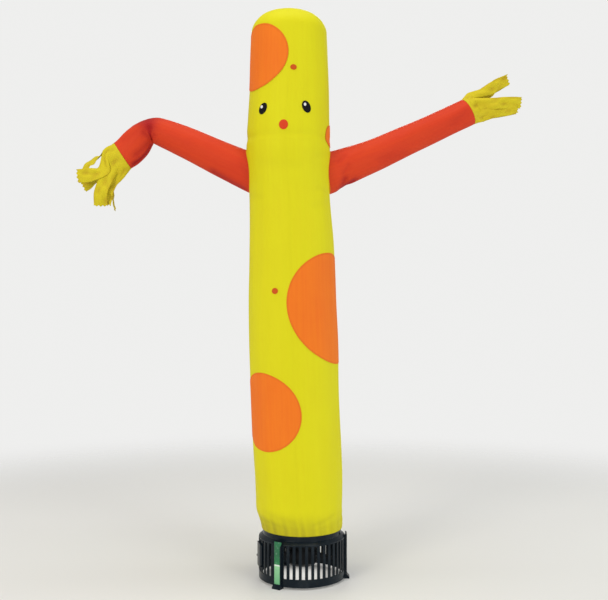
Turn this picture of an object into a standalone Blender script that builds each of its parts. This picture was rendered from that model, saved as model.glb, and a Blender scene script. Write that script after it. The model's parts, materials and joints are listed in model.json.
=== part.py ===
"""An inflatable air dancer: a tall cloth tube with two arms, streamer hands, sewn-on spots and a
face, standing on the slotted fan blower that fills it. Metres, +Z up, and -Y is the front."""

import math
from collections import namedtuple

import bmesh
import bpy
import numpy as np
from mathutils import Vector

# Shared sizes
CLOTH = 0.002
PATCH = 0.0012
GAP = 0.0003
PATCH_LIFT = 0.0006
UP = Vector((0, 0, 1))
BACK = Vector((0, 1, 0))

# The cloth tube, from its hem up to where the domed top starts
Section = namedtuple("Section", "z centre_x radius")
BODY_SECTIONS = (
    Section(0.292, 0.000, 0.2316),
    Section(0.322, -0.002, 0.2345),
    Section(0.350, -0.006, 0.2405),
    Section(0.388, -0.014, 0.2470),
    Section(0.475, -0.017, 0.2505),
    Section(0.562, -0.020, 0.2530),
    Section(0.737, -0.029, 0.2560),
    Section(1.086, -0.041, 0.2560),
    Section(1.348, -0.049, 0.2585),
    Section(1.610, -0.055, 0.2530),
    Section(1.785, -0.056, 0.2475),
    Section(1.959, -0.059, 0.2435),
    Section(2.134, -0.066, 0.2360),
    Section(2.221, -0.070, 0.2335),
    Section(2.352, -0.077, 0.2365),
    Section(2.483, -0.081, 0.2440),
    Section(2.512, -0.081, 0.2430),
    Section(2.535, -0.081, 0.2390),
    Section(2.560, -0.081, 0.2402),
    Section(2.658, -0.079, 0.2370),
    Section(2.832, -0.073, 0.2300),
    Section(3.000, -0.074, 0.2240),
    Section(3.152, -0.076, 0.2180),
)
BODY_COLUMNS = 32
DOME_HEIGHT = 0.138
DOME_ARC = 0.285
DOME_FULLNESS = 2.15
DOME_RINGS = 7

# The sleeves, as seen from the front: each row goes on by its run while it turns by its degrees
ArmRow = namedtuple("ArmRow", "run turn half_width half_depth")
Arm = namedtuple("Arm", "start_x start_y start_z heading lean_back rows")
ARM_COLUMNS = 18
ARM_LEFT = Arm(
    -0.200,
    0.040,
    2.313,
    155.6,
    -0.044,
    (
        ArmRow(0.000, 0.0, 0.1110, 0.1080),
        ArmRow(0.120, 0.0, 0.1090, 0.1050),
        ArmRow(0.150, 0.0, 0.1010, 0.0980),
        ArmRow(0.160, 0.0, 0.0930, 0.0915),
        ArmRow(0.150, 1.0, 0.0850, 0.0855),
        ArmRow(0.121, 4.0, 0.0740, 0.0800),
        ArmRow(0.026, 18.0, 0.0690, 0.0780),
        ArmRow(0.025, 21.0, 0.0660, 0.0765),
        ArmRow(0.025, 20.0, 0.0680, 0.0740),
        ArmRow(0.026, 11.0, 0.0770, 0.0700),
        ArmRow(0.053, 1.0, 0.0890, 0.0640),
        ArmRow(0.054, -8.0, 0.0900, 0.0600),
        ArmRow(0.054, -10.0, 0.0870, 0.0580),
    ),
)
ARM_RIGHT = Arm(
    0.050,
    0.040,
    2.325,
    19.5,
    0.138,
    (
        ArmRow(0.000, 0.0, 0.1220, 0.1080),
        ArmRow(0.122, 0.0, 0.1200, 0.1060),
        ArmRow(0.045, 0.0, 0.1080, 0.1010),
        ArmRow(0.055, 0.0, 0.1040, 0.0990),
        ArmRow(0.105, 3.0, 0.0970, 0.0955),
        ArmRow(0.135, 3.0, 0.0905, 0.0905),
        ArmRow(0.140, 0.0, 0.0860, 0.0865),
        ArmRow(0.160, 0.0, 0.0820, 0.0825),
        ArmRow(0.160, 0.0, 0.0800, 0.0795),
        ArmRow(0.070, 0.0, 0.0800, 0.0775),
        ArmRow(0.040, 4.0, 0.0800, 0.0765),
    ),
)

# The hands: a cuff that goes flat and sags towards its end, cut there into six strips of one width.
# The strips go round the cuff as its points do, and each one's rows go outwards
StripRow = namedtuple("StripRow", "x y z twist")
Hand = namedtuple("Hand", "cuff end_width end_depth sag strip_half strips")
STRIP_STEPS = 6
SEAM_GAP = 0.0009
HAND_LEFT = Hand(
    0.078,
    0.098,
    0.042,
    0.014,
    0.039,
    (
        (  # lowest of the back, seen on edge
            StripRow(-1.116, 0.040, 2.275, 50.0),
            StripRow(-1.112, 0.045, 2.210, 68.0),
            StripRow(-1.097, 0.040, 2.140, 80.0),
        ),
        (  # middle of the back, ending in a small point at the left
            StripRow(-1.180, 0.050, 2.334, 58.0),
            StripRow(-1.222, 0.052, 2.308, 50.0),
            StripRow(-1.284, 0.040, 2.276, 22.0),
        ),
        (  # top of the back, arching over the gap
            StripRow(-1.202, 0.020, 2.432, 56.0),
            StripRow(-1.246, 0.015, 2.398, 55.0),
            StripRow(-1.268, 0.000, 2.358, 50.0),
        ),
        (  # top of the front, folded down and across to the left
            StripRow(-1.145, -0.046, 2.360, 14.0),
            StripRow(-1.215, -0.060, 2.331, 4.0),
            StripRow(-1.294, -0.050, 2.324, -5.0),
        ),
        (  # middle of the front, the broad one that hangs down
            StripRow(-1.134, -0.055, 2.295, 5.0),
            StripRow(-1.156, -0.068, 2.226, 0.0),
            StripRow(-1.158, -0.055, 2.152, -10.0),
        ),
        (  # lowest of the front
            StripRow(-1.118, -0.030, 2.258, 12.0),
            StripRow(-1.132, -0.035, 2.210, 12.0),
            StripRow(-1.138, -0.025, 2.164, 18.0),
        ),
    ),
)
HAND_RIGHT = Hand(
    0.060,
    0.094,
    0.044,
    0.000,
    0.034,
    (
        (  # top of the back
            StripRow(1.128, 0.205, 2.868, 20.0),
            StripRow(1.170, 0.210, 2.894, 32.0),
            StripRow(1.222, 0.205, 2.922, 45.0),
        ),
        (  # middle of the back
            StripRow(1.150, 0.215, 2.790, 15.0),
            StripRow(1.220, 0.220, 2.802, 25.0),
            StripRow(1.306, 0.210, 2.808, 38.0),
        ),
        (  # lowest of the back
            StripRow(1.150, 0.200, 2.738, 20.0),
            StripRow(1.220, 0.200, 2.752, 30.0),
            StripRow(1.300, 0.190, 2.768, 45.0),
        ),
        (  # lowest of the front
            StripRow(1.146, 0.140, 2.732, 15.0),
            StripRow(1.210, 0.140, 2.742, 25.0),
            StripRow(1.286, 0.150, 2.752, 38.0),
        ),
        (  # middle of the front
            StripRow(1.146, 0.120, 2.780, 10.0),
            StripRow(1.218, 0.120, 2.785, 15.0),
            StripRow(1.308, 0.135, 2.788, 28.0),
        ),
        (  # top of the front, pointing up
            StripRow(1.118, 0.135, 2.868, 10.0),
            StripRow(1.170, 0.140, 2.899, 18.0),
            StripRow(1.232, 0.145, 2.930, 32.0),
        ),
    ),
)

# Patches on the tube: place round it from the front, height, half sizes and slope of the long axis
Patch = namedtuple("Patch", "name degrees z half_width half_height slope lift colour")
SPOT_ORANGE = (0.855, 0.190, 0.018)
EYE_BLACK = (0.008, 0.008, 0.010)
GLINT_WHITE = (0.850, 0.850, 0.820)
PATCHES = (
    Patch("spot_head", -53.2, 2.986, 0.208, 0.186, 0.070, 0.0006, SPOT_ORANGE),
    Patch("dot_head", 6.7, 2.907, 0.017, 0.017, 0.0, 0.0, SPOT_ORANGE),
    Patch("spot_shoulder", 81.0, 2.553, 0.068, 0.064, 0.0, 0.0008, SPOT_ORANGE),
    Patch("spot_belly", 65.3, 1.561, 0.320, 0.315, -0.10, 0.0, SPOT_ORANGE),
    Patch("dot_belly", -22.2, 1.660, 0.018, 0.017, 0.0, 0.0, SPOT_ORANGE),
    Patch("spot_low", -44.1, 0.980, 0.233, 0.221, -0.045, 0.0, SPOT_ORANGE),
    Patch("eye_left", -36.5, 2.684, 0.026, 0.029, 0.0, 0.0, EYE_BLACK),
    Patch("eye_right", 26.2, 2.690, 0.027, 0.031, 0.0, 0.0, EYE_BLACK),
    Patch("glint_left", -38.5, 2.694, 0.008, 0.009, 0.0, PATCH + GAP, GLINT_WHITE),
    Patch("glint_right", 23.8, 2.702, 0.008, 0.009, 0.0, PATCH + GAP, GLINT_WHITE),
    Patch("nose", -5.0, 2.585, 0.024, 0.025, 0.0, 0.0, (0.760, 0.090, 0.020)),
)
PATCH_COLUMN = 9.0
PATCH_ROWS = 6

# The blower housing, from the bottom ring up to the neck inside the cloth
Ring = namedtuple("Ring", "radius z")
WALL = 0.004
HOUSING_RADIUS = 0.250
NECK_RADIUS = 0.2275
HOUSING_RINGS = (
    Ring(HOUSING_RADIUS, 0.012),
    Ring(HOUSING_RADIUS, 0.057),
    Ring(HOUSING_RADIUS, 0.240),
    Ring(HOUSING_RADIUS, 0.246),
    Ring(NECK_RADIUS, 0.262),
    Ring(NECK_RADIUS, 0.340),
)
SLOTTED_BAND = 1
SLOTS = 45
SLOT_DEGREES = 4.1

# Legs, the strip on the front one, and the box and gland on the left
LEG_DEGREES = {"leg_front": -32.0, "leg_right": 88.0, "leg_back": 208.0}
LEG_HALF = 0.0265
LEG_FACE = 0.2610
LEG_EDGE = 0.0015
LEG_TOP = 0.262
LEG_TOP_EASE = 0.005
FOOT_INNER = 0.234
FOOT_REACH = 0.276
FOOT_THICK = 0.007
FOOT_RISE = 0.024
LABEL_HALF = 0.018
LABEL_THICK = 0.0008
LABEL_BOTTOM = 0.0255
LABEL_TOP = 0.2565
BOX_DEGREES = -75.0
BOX_SPAN = 23.0
BOX_RADIUS = 0.260
BOX_BOTTOM = 0.085
BOX_TOP = 0.218
BOX_COLUMNS = 6
BOX_CORNER = 0.018
BOX_END_EASE = 0.004
GLAND_RADIUS = 0.0054
GLAND_TIP = 0.0036
GLAND_LENGTH = 0.018
GLAND_RISE = 0.045
GLAND_OUT = 0.008

# Motor, bracket and fan
MOTOR_RADIUS = 0.092
MOTOR_BOTTOM = 0.080
MOTOR_TOP = 0.228
MOTOR_SHOULDER = 0.016
SHAFT_RADIUS = 0.009
SHAFT_TOP = 0.292
BRACKET_ARMS = 4
BRACKET_Z = 0.150
BRACKET_HEIGHT = 0.020
BRACKET_THICK = 0.006
BRACKET_HALF = 0.009
BRACKET_INSET = 0.002
BRACKET_END_GAP = 0.0014
FAN_BLADES = 6
HUB_RADIUS = 0.055
HUB_BOTTOM = 0.236
HUB_TOP = 0.286
BLADE_THICK = 0.003
BladeRow = namedtuple("BladeRow", "radius chord pitch")
BLADE_ROWS = (
    BladeRow(0.049, 0.053, 35.0),
    BladeRow(0.130, 0.072, 28.0),
    BladeRow(0.214, 0.085, 20.0),
)


def clear_scene():
    for obj in list(bpy.data.objects):
        bpy.data.objects.remove(obj)


def material(name, colour, roughness, metallic=0.0):
    made = bpy.data.materials.new(name)
    made.use_nodes = True
    shader = made.node_tree.nodes["Principled BSDF"]
    shader.inputs["Base Color"].default_value = (*colour, 1)
    shader.inputs["Roughness"].default_value = roughness
    shader.inputs["Metallic"].default_value = metallic
    return made


def add_object(name, points, faces, surface, smooth=40.0):
    mesh = bpy.data.meshes.new(name)
    mesh.from_pydata([tuple(p) for p in points], [], faces)
    mesh.validate()
    mesh.shade_smooth()
    mesh.set_sharp_from_angle(angle=math.radians(smooth))
    obj = bpy.data.objects.new(name, mesh)
    obj.data.materials.append(surface)
    bpy.context.scene.collection.objects.link(obj)
    return obj


def thicken(obj, thickness, offset):
    """Makes a sheet solid: offset -1 goes in from its face, 1 goes out from it."""
    solid = obj.modifiers.new("cloth", "SOLIDIFY")
    solid.thickness = thickness
    solid.offset = offset
    return obj


def combine(obj, other, operation):
    """Cuts the helper from the object or joins it on, and hides the helper."""
    boolean = obj.modifiers.new(other.name, "BOOLEAN")
    boolean.operation = operation
    boolean.object = other
    other.hide_render = True
    other.display_type = "WIRE"


def front_direction(degrees):
    """The direction out from the axis, turned from the front towards +X."""
    angle = math.radians(degrees)
    return Vector((math.sin(angle), -math.cos(angle), 0))


def ring_faces(rings, columns, closed=True):
    """Quads between neighbouring rings of points, numbered ring by ring."""
    faces = []
    for r in range(rings - 1):
        for c in range(columns if closed else columns - 1):
            d = (c + 1) % columns
            faces.append((r * columns + c, r * columns + d, (r + 1) * columns + d, (r + 1) * columns + c))
    return faces


# The cloth tube


def body_ring(s):
    """Height, centre and radius at s: the height up to the dome, then the arc over it."""
    top = BODY_SECTIONS[-1]
    if s <= top.z:
        heights = [row.z for row in BODY_SECTIONS]
        centre = np.interp(s, heights, [row.centre_x for row in BODY_SECTIONS])
        return s, centre, np.interp(s, heights, [row.radius for row in BODY_SECTIONS])
    angle = min((s - top.z) / DOME_ARC, 1.0) * math.pi / 2
    rise = math.sin(angle) ** (2 / DOME_FULLNESS)
    shrink = math.cos(angle) ** (2 / DOME_FULLNESS)
    return top.z + DOME_HEIGHT * rise, top.centre_x, top.radius * shrink


def tube_rows():
    """Where the tube's rings are: at each section, then evenly over the dome."""
    top = BODY_SECTIONS[-1].z
    return [row.z for row in BODY_SECTIONS] + [top + DOME_ARC * k / DOME_RINGS for k in range(1, DOME_RINGS)]


def tube_point(degrees, s, lift=0.0):
    z, centre, radius = body_ring(s)
    return Vector((centre, 0, z)) + front_direction(degrees) * (radius + lift)


def tube_mesh_parts(lift):
    """Points and faces of the tube's outer face, lifted off it, open at the hem."""
    rows = tube_rows()
    step = 360 / BODY_COLUMNS
    points = [tube_point(c * step, s, lift) for s in rows for c in range(BODY_COLUMNS)]
    faces = ring_faces(len(rows), BODY_COLUMNS)
    apex = BODY_SECTIONS[-1]
    points.append(Vector((apex.centre_x, 0, apex.z + DOME_HEIGHT + lift)))
    last = (len(rows) - 1) * BODY_COLUMNS
    for c in range(BODY_COLUMNS):
        faces.append((last + c, last + (c + 1) % BODY_COLUMNS, len(points) - 1))
    return points, faces


def body_tube(surface):
    points, faces = tube_mesh_parts(0.0)
    return thicken(add_object("body_tube", points, faces, surface), CLOTH, -1)


def body_envelope(surface):
    """A closed copy just outside the tube, which trims the sleeves' roots."""
    points, faces = tube_mesh_parts(GAP)
    faces.append(tuple(range(BODY_COLUMNS))[::-1])
    return add_object("body_envelope", points, faces, surface)


# Sleeves

Station = namedtuple("Station", "centre along half_width half_depth")


def arm_stations(arm):
    x, z, heading = arm.start_x, arm.start_z, arm.heading
    found = []
    for row in arm.rows:
        middle = math.radians(heading + row.turn / 2)
        x += row.run * math.cos(middle)
        z += row.run * math.sin(middle)
        heading += row.turn
        y = arm.start_y + arm.lean_back * abs(x - arm.start_x)
        turned = math.radians(heading)
        along = Vector((math.cos(turned), arm.lean_back * abs(math.cos(turned)), math.sin(turned)))
        found.append(Station(Vector((x, y, z)), along.normalized(), row.half_width, row.half_depth))
    return found


def section_axes(along):
    """The width and depth directions of a sleeve's section, square to its run."""
    depth = (BACK - along * along.dot(BACK)).normalized()
    return along.cross(depth), depth


def section_points(station, shrink=0.0):
    """The section's points, from its width direction round by the back."""
    width, depth = section_axes(station.along)
    points = []
    for c in range(ARM_COLUMNS):
        angle = math.tau * (c + 0.5) / ARM_COLUMNS
        out = width * (math.cos(angle) * (station.half_width - shrink))
        points.append(station.centre + out + depth * (math.sin(angle) * (station.half_depth - shrink)))
    return points


def sleeve(name, arm, surface, envelope):
    stations = arm_stations(arm)
    points = [p for station in stations for p in section_points(station)]
    obj = add_object(name, points, ring_faces(len(stations), ARM_COLUMNS), surface)
    thicken(obj, CLOTH, -1)
    combine(obj, envelope, "DIFFERENCE")
    return obj


def sleeve_hole(name, arm, surface):
    """The space inside the sleeve's root, which cuts its hole in the tube."""
    stations = arm_stations(arm)[:3]
    points = [p for station in stations for p in section_points(station, CLOTH)]
    faces = ring_faces(len(stations), ARM_COLUMNS)
    faces.append(tuple(range(ARM_COLUMNS))[::-1])
    first = (len(stations) - 1) * ARM_COLUMNS
    faces.append(tuple(range(first, first + ARM_COLUMNS)))
    return add_object(name, points, faces, surface)


# Hands


def curve_point(points, t):
    """A point on the smooth curve through the points, with t from 0 to 1 along them."""
    place = t * (len(points) - 1)
    i = min(int(place), len(points) - 2)
    u = place - i
    a, b = points[i], points[i + 1]
    before = points[i - 1] if i else a * 2 - b
    after = points[i + 2] if i + 2 < len(points) else b * 2 - a
    start, end = (b - before) / 2, (after - a) / 2
    return (
        a * (2 * u**3 - 3 * u**2 + 1)
        + start * (u**3 - 2 * u**2 + u)
        + b * (3 * u**2 - 2 * u**3)
        + end * (u**3 - u**2)
    )


def strip_sides(root, rows, half):
    """Half-width vectors at the root and at each row of a strip, kept from flipping over."""
    sides = [(root[-1] - root[0]) / 2]
    centres = [sum(root, Vector()) / len(root)] + [Vector((r.x, r.y, r.z)) for r in rows]
    for i, row in enumerate(rows):
        along = (centres[min(i + 2, len(rows))] - centres[i]).normalized()
        flat = BACK.cross(along).normalized()
        twist = math.radians(row.twist)
        side = (flat * math.cos(twist) + along.cross(flat) * math.sin(twist)) * half
        sides.append(side if side.dot(sides[-1]) > 0 else -side)
    return centres, sides


def hand(name, arm, shape, surface):
    """A cuff on the sleeve's end and its strips, as one sheet that is then thickened."""
    wrist = arm_stations(arm)[-1]
    width, _ = section_axes(wrist.along)
    points = []
    for share in (SEAM_GAP / shape.cuff, 0.5, 1.0):
        points += section_points(
            wrist._replace(
                centre=wrist.centre + (wrist.along * shape.cuff + width * shape.sag) * share,
                half_width=wrist.half_width + (shape.end_width - wrist.half_width) * share,
                half_depth=wrist.half_depth + (shape.end_depth - wrist.half_depth) * share,
            )
        )
    faces = ring_faces(3, ARM_COLUMNS)
    across = ARM_COLUMNS // len(shape.strips)
    first = 2 * ARM_COLUMNS
    for k, rows in enumerate(shape.strips):
        edge = [first + (k * across + j) % ARM_COLUMNS for j in range(across + 1)]
        root = [points[i] for i in edge]
        centres, sides = strip_sides(root, rows, shape.strip_half)
        for step in range(1, STRIP_STEPS + 1):
            t = step / STRIP_STEPS
            centre, side = curve_point(centres, t), curve_point(sides, t)
            row = [centre + side * (2 * j / across - 1) for j in range(across + 1)]
            made = list(range(len(points), len(points) + across + 1))
            points += row
            for j in range(across):
                faces.append((edge[j], edge[j + 1], made[j + 1], made[j]))
            edge = made
    return thicken(add_object(name, points, faces, surface), CLOTH, -1)


# Patches


def faceted_point(degrees, s, lift):
    """A point on the tube's flat facets, lifted off them."""
    step = 360 / BODY_COLUMNS
    column = math.floor(degrees / step)
    share = degrees / step - column
    low = tube_point(column * step, s)
    high = tube_point((column + 1) * step, s)
    slope = 1e-3
    z_above, _, r_above = body_ring(s + slope)
    z_here, _, r_here = body_ring(s)
    outward = front_direction(degrees) * (z_above - z_here) + UP * (r_here - r_above)
    return low.lerp(high, share) + outward.normalized() * lift


def patch_rows(low, high):
    """Even rows from low to high, with the nearest inner one moved to each of the tube's rings."""
    rows = [low + (high - low) * k / PATCH_ROWS for k in range(PATCH_ROWS + 1)]
    for ring in tube_rows():
        if low < ring < high:
            nearest = round((ring - low) / (high - low) * PATCH_ROWS)
            rows[min(max(nearest, 1), PATCH_ROWS - 1)] = ring
    return rows


def patch(row, surface):
    """An oval on the tube's facets. Its columns include the facets' edges, so it bends there."""
    _, _, radius = body_ring(row.z)
    span = math.degrees(row.half_width / radius)
    count = max(4, round(2 * span / PATCH_COLUMN))
    even = [-math.cos(math.pi * k / count) * span for k in range(count + 1)]
    step = 360 / BODY_COLUMNS
    first = math.ceil((row.degrees - span) / step)
    edges = [k * step - row.degrees for k in range(first, math.floor((row.degrees + span) / step) + 1)]
    inside = [a for a in even[1:-1] if all(abs(a - e) > step / 5 for e in edges)]
    inner = [e for e in edges if abs(e) < span * 0.97]
    columns = sorted(inside + inner)
    lift = PATCH_LIFT + row.lift
    points = [faceted_point(row.degrees - span, row.z - row.slope * row.half_width, lift)]
    for angle in columns:
        reach = row.half_height * math.sqrt(1 - (angle / span) ** 2)
        middle = row.z + row.slope * row.half_width * angle / span
        for s in patch_rows(middle - reach, middle + reach):
            points.append(faceted_point(row.degrees + angle, s, lift))
    points.append(faceted_point(row.degrees + span, row.z + row.slope * row.half_width, lift))
    wide = PATCH_ROWS + 1
    last = 1 + (len(columns) - 1) * wide
    faces = []
    for k in range(PATCH_ROWS):
        faces.append((0, 1 + k, 2 + k))
        faces.append((last + k, len(points) - 1, last + k + 1))
        for c in range(len(columns) - 1):
            a = 1 + c * wide + k
            faces.append((a, a + wide, a + wide + 1, a + 1))
    return thicken(add_object(row.name, points, faces, surface, smooth=60), PATCH, 1)


# Blower housing, legs and what is on it


def slot_angles():
    pitch = 360 / SLOTS
    return [k // 2 * pitch + (k % 2) * SLOT_DEGREES for k in range(2 * SLOTS)]


def housing(surface):
    """The wall's outer and inner faces, ring by ring, with its slots left open."""
    angles = slot_angles()
    columns, rings = len(angles), len(HOUSING_RINGS)
    points = []
    for inset in (0, WALL):
        for ring in HOUSING_RINGS:
            points += [front_direction(a) * (ring.radius - inset) + UP * ring.z for a in angles]
    inner = rings * columns

    def at(ring, column):
        return ring * columns + column % columns

    faces = []
    for b in range(rings - 1):
        for c in range(columns):
            a, d = at(b, c), at(b, c + 1)
            e, f = at(b + 1, c + 1), at(b + 1, c)
            corners = (a, d, e, f)
            if b == SLOTTED_BAND and c % 2 == 0:
                for k in range(4):
                    p, q = corners[k], corners[(k + 1) % 4]
                    faces.append((q, p, p + inner, q + inner))
            else:
                faces.append(corners)
                faces.append(tuple(i + inner for i in corners[::-1]))
    for c in range(columns):
        low, high = at(0, c), at(rings - 1, c)
        low_next, high_next = at(0, c + 1), at(rings - 1, c + 1)
        faces.append((low, low + inner, low_next + inner, low_next))
        faces.append((high, high_next, high_next + inner, high + inner))
    return add_object("housing", points, faces, surface, smooth=35)


def upright(name, degrees, outline, half, surface):
    """An outline of distance from the axis and height, drawn out sideways at a place on the wall."""
    out = front_direction(degrees)
    side = UP.cross(out)
    points = [out * r + UP * z + side * s for s in (-half, half) for r, z in outline]
    n = len(outline)
    faces = [tuple(range(n))[::-1], tuple(range(n, 2 * n))]
    faces += [(k, (k + 1) % n, n + (k + 1) % n, n + k) for k in range(n)]
    return add_object(name, points, faces, surface, smooth=30)


def leg(name, degrees, surface):
    inside = HOUSING_RADIUS + GAP
    ring_bottom = HOUSING_RINGS[0].z
    outline = (
        (FOOT_INNER, 0),
        (FOOT_REACH, 0),
        (FOOT_REACH, FOOT_THICK),
        (LEG_FACE, FOOT_RISE),
        (LEG_FACE, LEG_TOP - LEG_TOP_EASE),
        (LEG_FACE - LEG_TOP_EASE, LEG_TOP),
        (inside, LEG_TOP),
        (inside, ring_bottom - GAP),
        (FOOT_INNER, ring_bottom - GAP),
    )
    obj = upright(name, degrees, outline, LEG_HALF, surface)
    soften_front(obj, degrees, LEG_FACE - 2 * LEG_EDGE)
    return obj


def soften_front(obj, degrees, beyond):
    """Cuts the edges off that stand further out than this."""
    out = front_direction(degrees)
    shape = bmesh.new()
    shape.from_mesh(obj.data)
    edges = [e for e in shape.edges if all(v.co.dot(out) > beyond for v in e.verts)]
    bmesh.ops.bevel(shape, geom=edges, offset=LEG_EDGE, segments=1, affect="EDGES")
    shape.to_mesh(obj.data)
    shape.free()


def label(surface):
    inside = LEG_FACE + GAP
    outline = (
        (inside, LABEL_BOTTOM),
        (inside + LABEL_THICK, LABEL_BOTTOM),
        (inside + LABEL_THICK, LABEL_TOP),
        (inside, LABEL_TOP),
    )
    return upright("label", LEG_DEGREES["leg_front"], outline, LABEL_HALF, surface)


def control_box(surface):
    """A box that hugs the round wall, with its end corners cut off."""
    inside = HOUSING_RADIUS + GAP
    points = []
    for k in range(BOX_COLUMNS + 1):
        out = front_direction(BOX_DEGREES + BOX_SPAN * (k / BOX_COLUMNS - 0.5))
        at_end = k in (0, BOX_COLUMNS)
        bottom = BOX_BOTTOM + BOX_CORNER * at_end
        top = BOX_TOP - BOX_CORNER / 2 * at_end
        edge = BOX_RADIUS - BOX_END_EASE * at_end
        points += [out * inside + UP * bottom, out * edge + UP * bottom]
        points += [out * edge + UP * top, out * inside + UP * top]
    faces = [(3, 2, 1, 0), tuple(4 * BOX_COLUMNS + i for i in range(4))]
    faces += box_sides(BOX_COLUMNS)
    return add_object("control_box", points, faces, surface, smooth=40)


def box_sides(sections):
    """Quads along a four-sided run of this many sections."""
    faces = []
    for k in range(sections):
        for i in range(4):
            j = (i + 1) % 4
            faces.append((4 * k + i, 4 * k + j, 4 * k + 4 + j, 4 * k + 4 + i))
    return faces


def turned(name, profile, sides, surface, axis_at=None, direction=UP):
    """A solid of revolution from a closed outline of radius and height. Radius 0 lies on its axis."""
    origin = axis_at or Vector()
    cross = direction.orthogonal().normalized()
    other = direction.cross(cross)
    points, rows = [], []
    for radius, height in profile:
        start = len(points)
        count = sides if radius else 1
        for k in range(count):
            angle = math.tau * k / sides
            rim = (cross * math.cos(angle) + other * math.sin(angle)) * radius
            points.append(origin + direction * height + rim)
        rows.append([start + k % count for k in range(sides)])
    faces = []
    for i, low in enumerate(rows):
        high = rows[(i + 1) % len(rows)]
        for k in range(sides):
            n = (k + 1) % sides
            corners = dict.fromkeys((low[k], low[n], high[n], high[k]))
            if len(corners) > 2:
                faces.append(tuple(corners))
    return add_object(name, points, faces, surface, smooth=30)


def cord_gland(surface):
    """A short turned gland on the box's back end, pointing back along the wall."""
    out = front_direction(BOX_DEGREES - BOX_SPAN / 2)
    direction = out.cross(UP)
    start = out * (HOUSING_RADIUS + GLAND_OUT) + UP * (BOX_BOTTOM + GLAND_RISE) + direction * GAP
    profile = (
        (0, 0),
        (GLAND_RADIUS, 0),
        (GLAND_RADIUS, GLAND_LENGTH * 0.9),
        (GLAND_TIP, GLAND_LENGTH),
        (0, GLAND_LENGTH),
    )
    return turned("cord_gland", profile, 12, surface, start, direction)


def motor(surface):
    profile = (
        (0, MOTOR_BOTTOM),
        (MOTOR_RADIUS - MOTOR_SHOULDER, MOTOR_BOTTOM),
        (MOTOR_RADIUS, MOTOR_BOTTOM + MOTOR_SHOULDER),
        (MOTOR_RADIUS, MOTOR_TOP - MOTOR_SHOULDER),
        (MOTOR_RADIUS - MOTOR_SHOULDER, MOTOR_TOP),
        (SHAFT_RADIUS, MOTOR_TOP),
        (SHAFT_RADIUS, SHAFT_TOP),
        (0, SHAFT_TOP),
    )
    return turned("motor", profile, 24, surface)


def motor_bracket(surface):
    """A band round the motor, with flat arms out to the wall."""
    inner, outer = MOTOR_RADIUS + GAP, MOTOR_RADIUS + BRACKET_THICK
    top = BRACKET_Z + BRACKET_HEIGHT
    band = turned(
        "motor_bracket",
        ((inner, BRACKET_Z), (outer, BRACKET_Z), (outer, top), (inner, top)),
        24,
        surface,
    )
    reach = HOUSING_RADIUS - WALL - BRACKET_END_GAP
    root = inner + BRACKET_INSET
    for k in range(BRACKET_ARMS):
        outline = ((root, BRACKET_Z + BRACKET_INSET), (reach, BRACKET_Z + BRACKET_INSET))
        outline += ((reach, top - BRACKET_INSET), (root, top - BRACKET_INSET))
        arm = upright(f"bracket_arm_{k}", 45 + 360 * k / BRACKET_ARMS, outline, BRACKET_HALF, surface)
        combine(band, arm, "UNION")
    return band


def blade(name, degrees, surface):
    """One flat, pitched blade, rooted inside the hub's rim."""
    out = front_direction(degrees)
    side = UP.cross(out)
    middle = (HUB_BOTTOM + HUB_TOP) / 2
    points = []
    for row in BLADE_ROWS:
        pitch = math.radians(row.pitch)
        along = side * math.cos(pitch) + UP * math.sin(pitch)
        normal = out.cross(along)
        centre = out * row.radius + UP * middle
        for across, face in ((-1, -1), (1, -1), (1, 1), (-1, 1)):
            points.append(centre + along * (row.chord / 2 * across) + normal * (BLADE_THICK / 2 * face))
    faces = [(3, 2, 1, 0), (8, 9, 10, 11)]
    faces += box_sides(2)
    return add_object(name, points, faces, surface)


def fan(surface):
    bore = SHAFT_RADIUS + GAP
    hub = turned(
        "fan",
        (
            (bore, HUB_BOTTOM),
            (HUB_RADIUS, HUB_BOTTOM),
            (HUB_RADIUS, HUB_TOP - 0.010),
            (HUB_RADIUS - 0.014, HUB_TOP),
            (bore, HUB_TOP),
        ),
        24,
        surface,
    )
    for k in range(FAN_BLADES):
        combine(hub, blade(f"blade_{k}", 12 + 360 * k / FAN_BLADES, surface), "UNION")
    return hub


def face_out(obj):
    """Turns a mesh's faces outwards, which a closed shape and a sheet's own order both allow."""
    shape = bmesh.new()
    shape.from_mesh(obj.data)
    bmesh.ops.recalc_face_normals(shape, faces=shape.faces)
    shape.to_mesh(obj.data)
    shape.free()


def build():
    clear_scene()
    yellow = material("yellow nylon", (0.720, 0.680, 0.012), 0.55)
    red = material("orange red nylon", (0.690, 0.065, 0.020), 0.55)
    hand_yellow = material("hand nylon", (0.660, 0.560, 0.020), 0.60)
    black = material("black plastic", (0.010, 0.016, 0.024), 0.35)
    metal = material("dark painted metal", (0.012, 0.014, 0.017), 0.50)
    green = material("green strip", (0.010, 0.270, 0.080), 0.40)

    envelope = body_envelope(yellow)
    tube = body_tube(yellow)
    for side, arm, shape in (("left", ARM_LEFT, HAND_LEFT), ("right", ARM_RIGHT, HAND_RIGHT)):
        sleeve(f"arm_{side}", arm, red, envelope)
        combine(tube, sleeve_hole(f"arm_{side}_hole", arm, red), "DIFFERENCE")
        hand(f"hand_{side}", arm, shape, hand_yellow)
    for row in PATCHES:
        patch(row, material(row.name, row.colour, 0.55))

    housing(black)
    for name, degrees in LEG_DEGREES.items():
        leg(name, degrees, black)
    label(green)
    control_box(black)
    cord_gland(black)
    motor(metal)
    motor_bracket(metal)
    fan(black)
    closed_shapes = [o for o in bpy.data.objects if not any(m.type == "SOLIDIFY" for m in o.modifiers)]
    for obj in closed_shapes:
        face_out(obj)


build()
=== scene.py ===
"""The finished look of the inflatable air dancer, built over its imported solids. Metres, +Z up, and
-Y is the front."""

import json
import math
from collections import namedtuple

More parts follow.
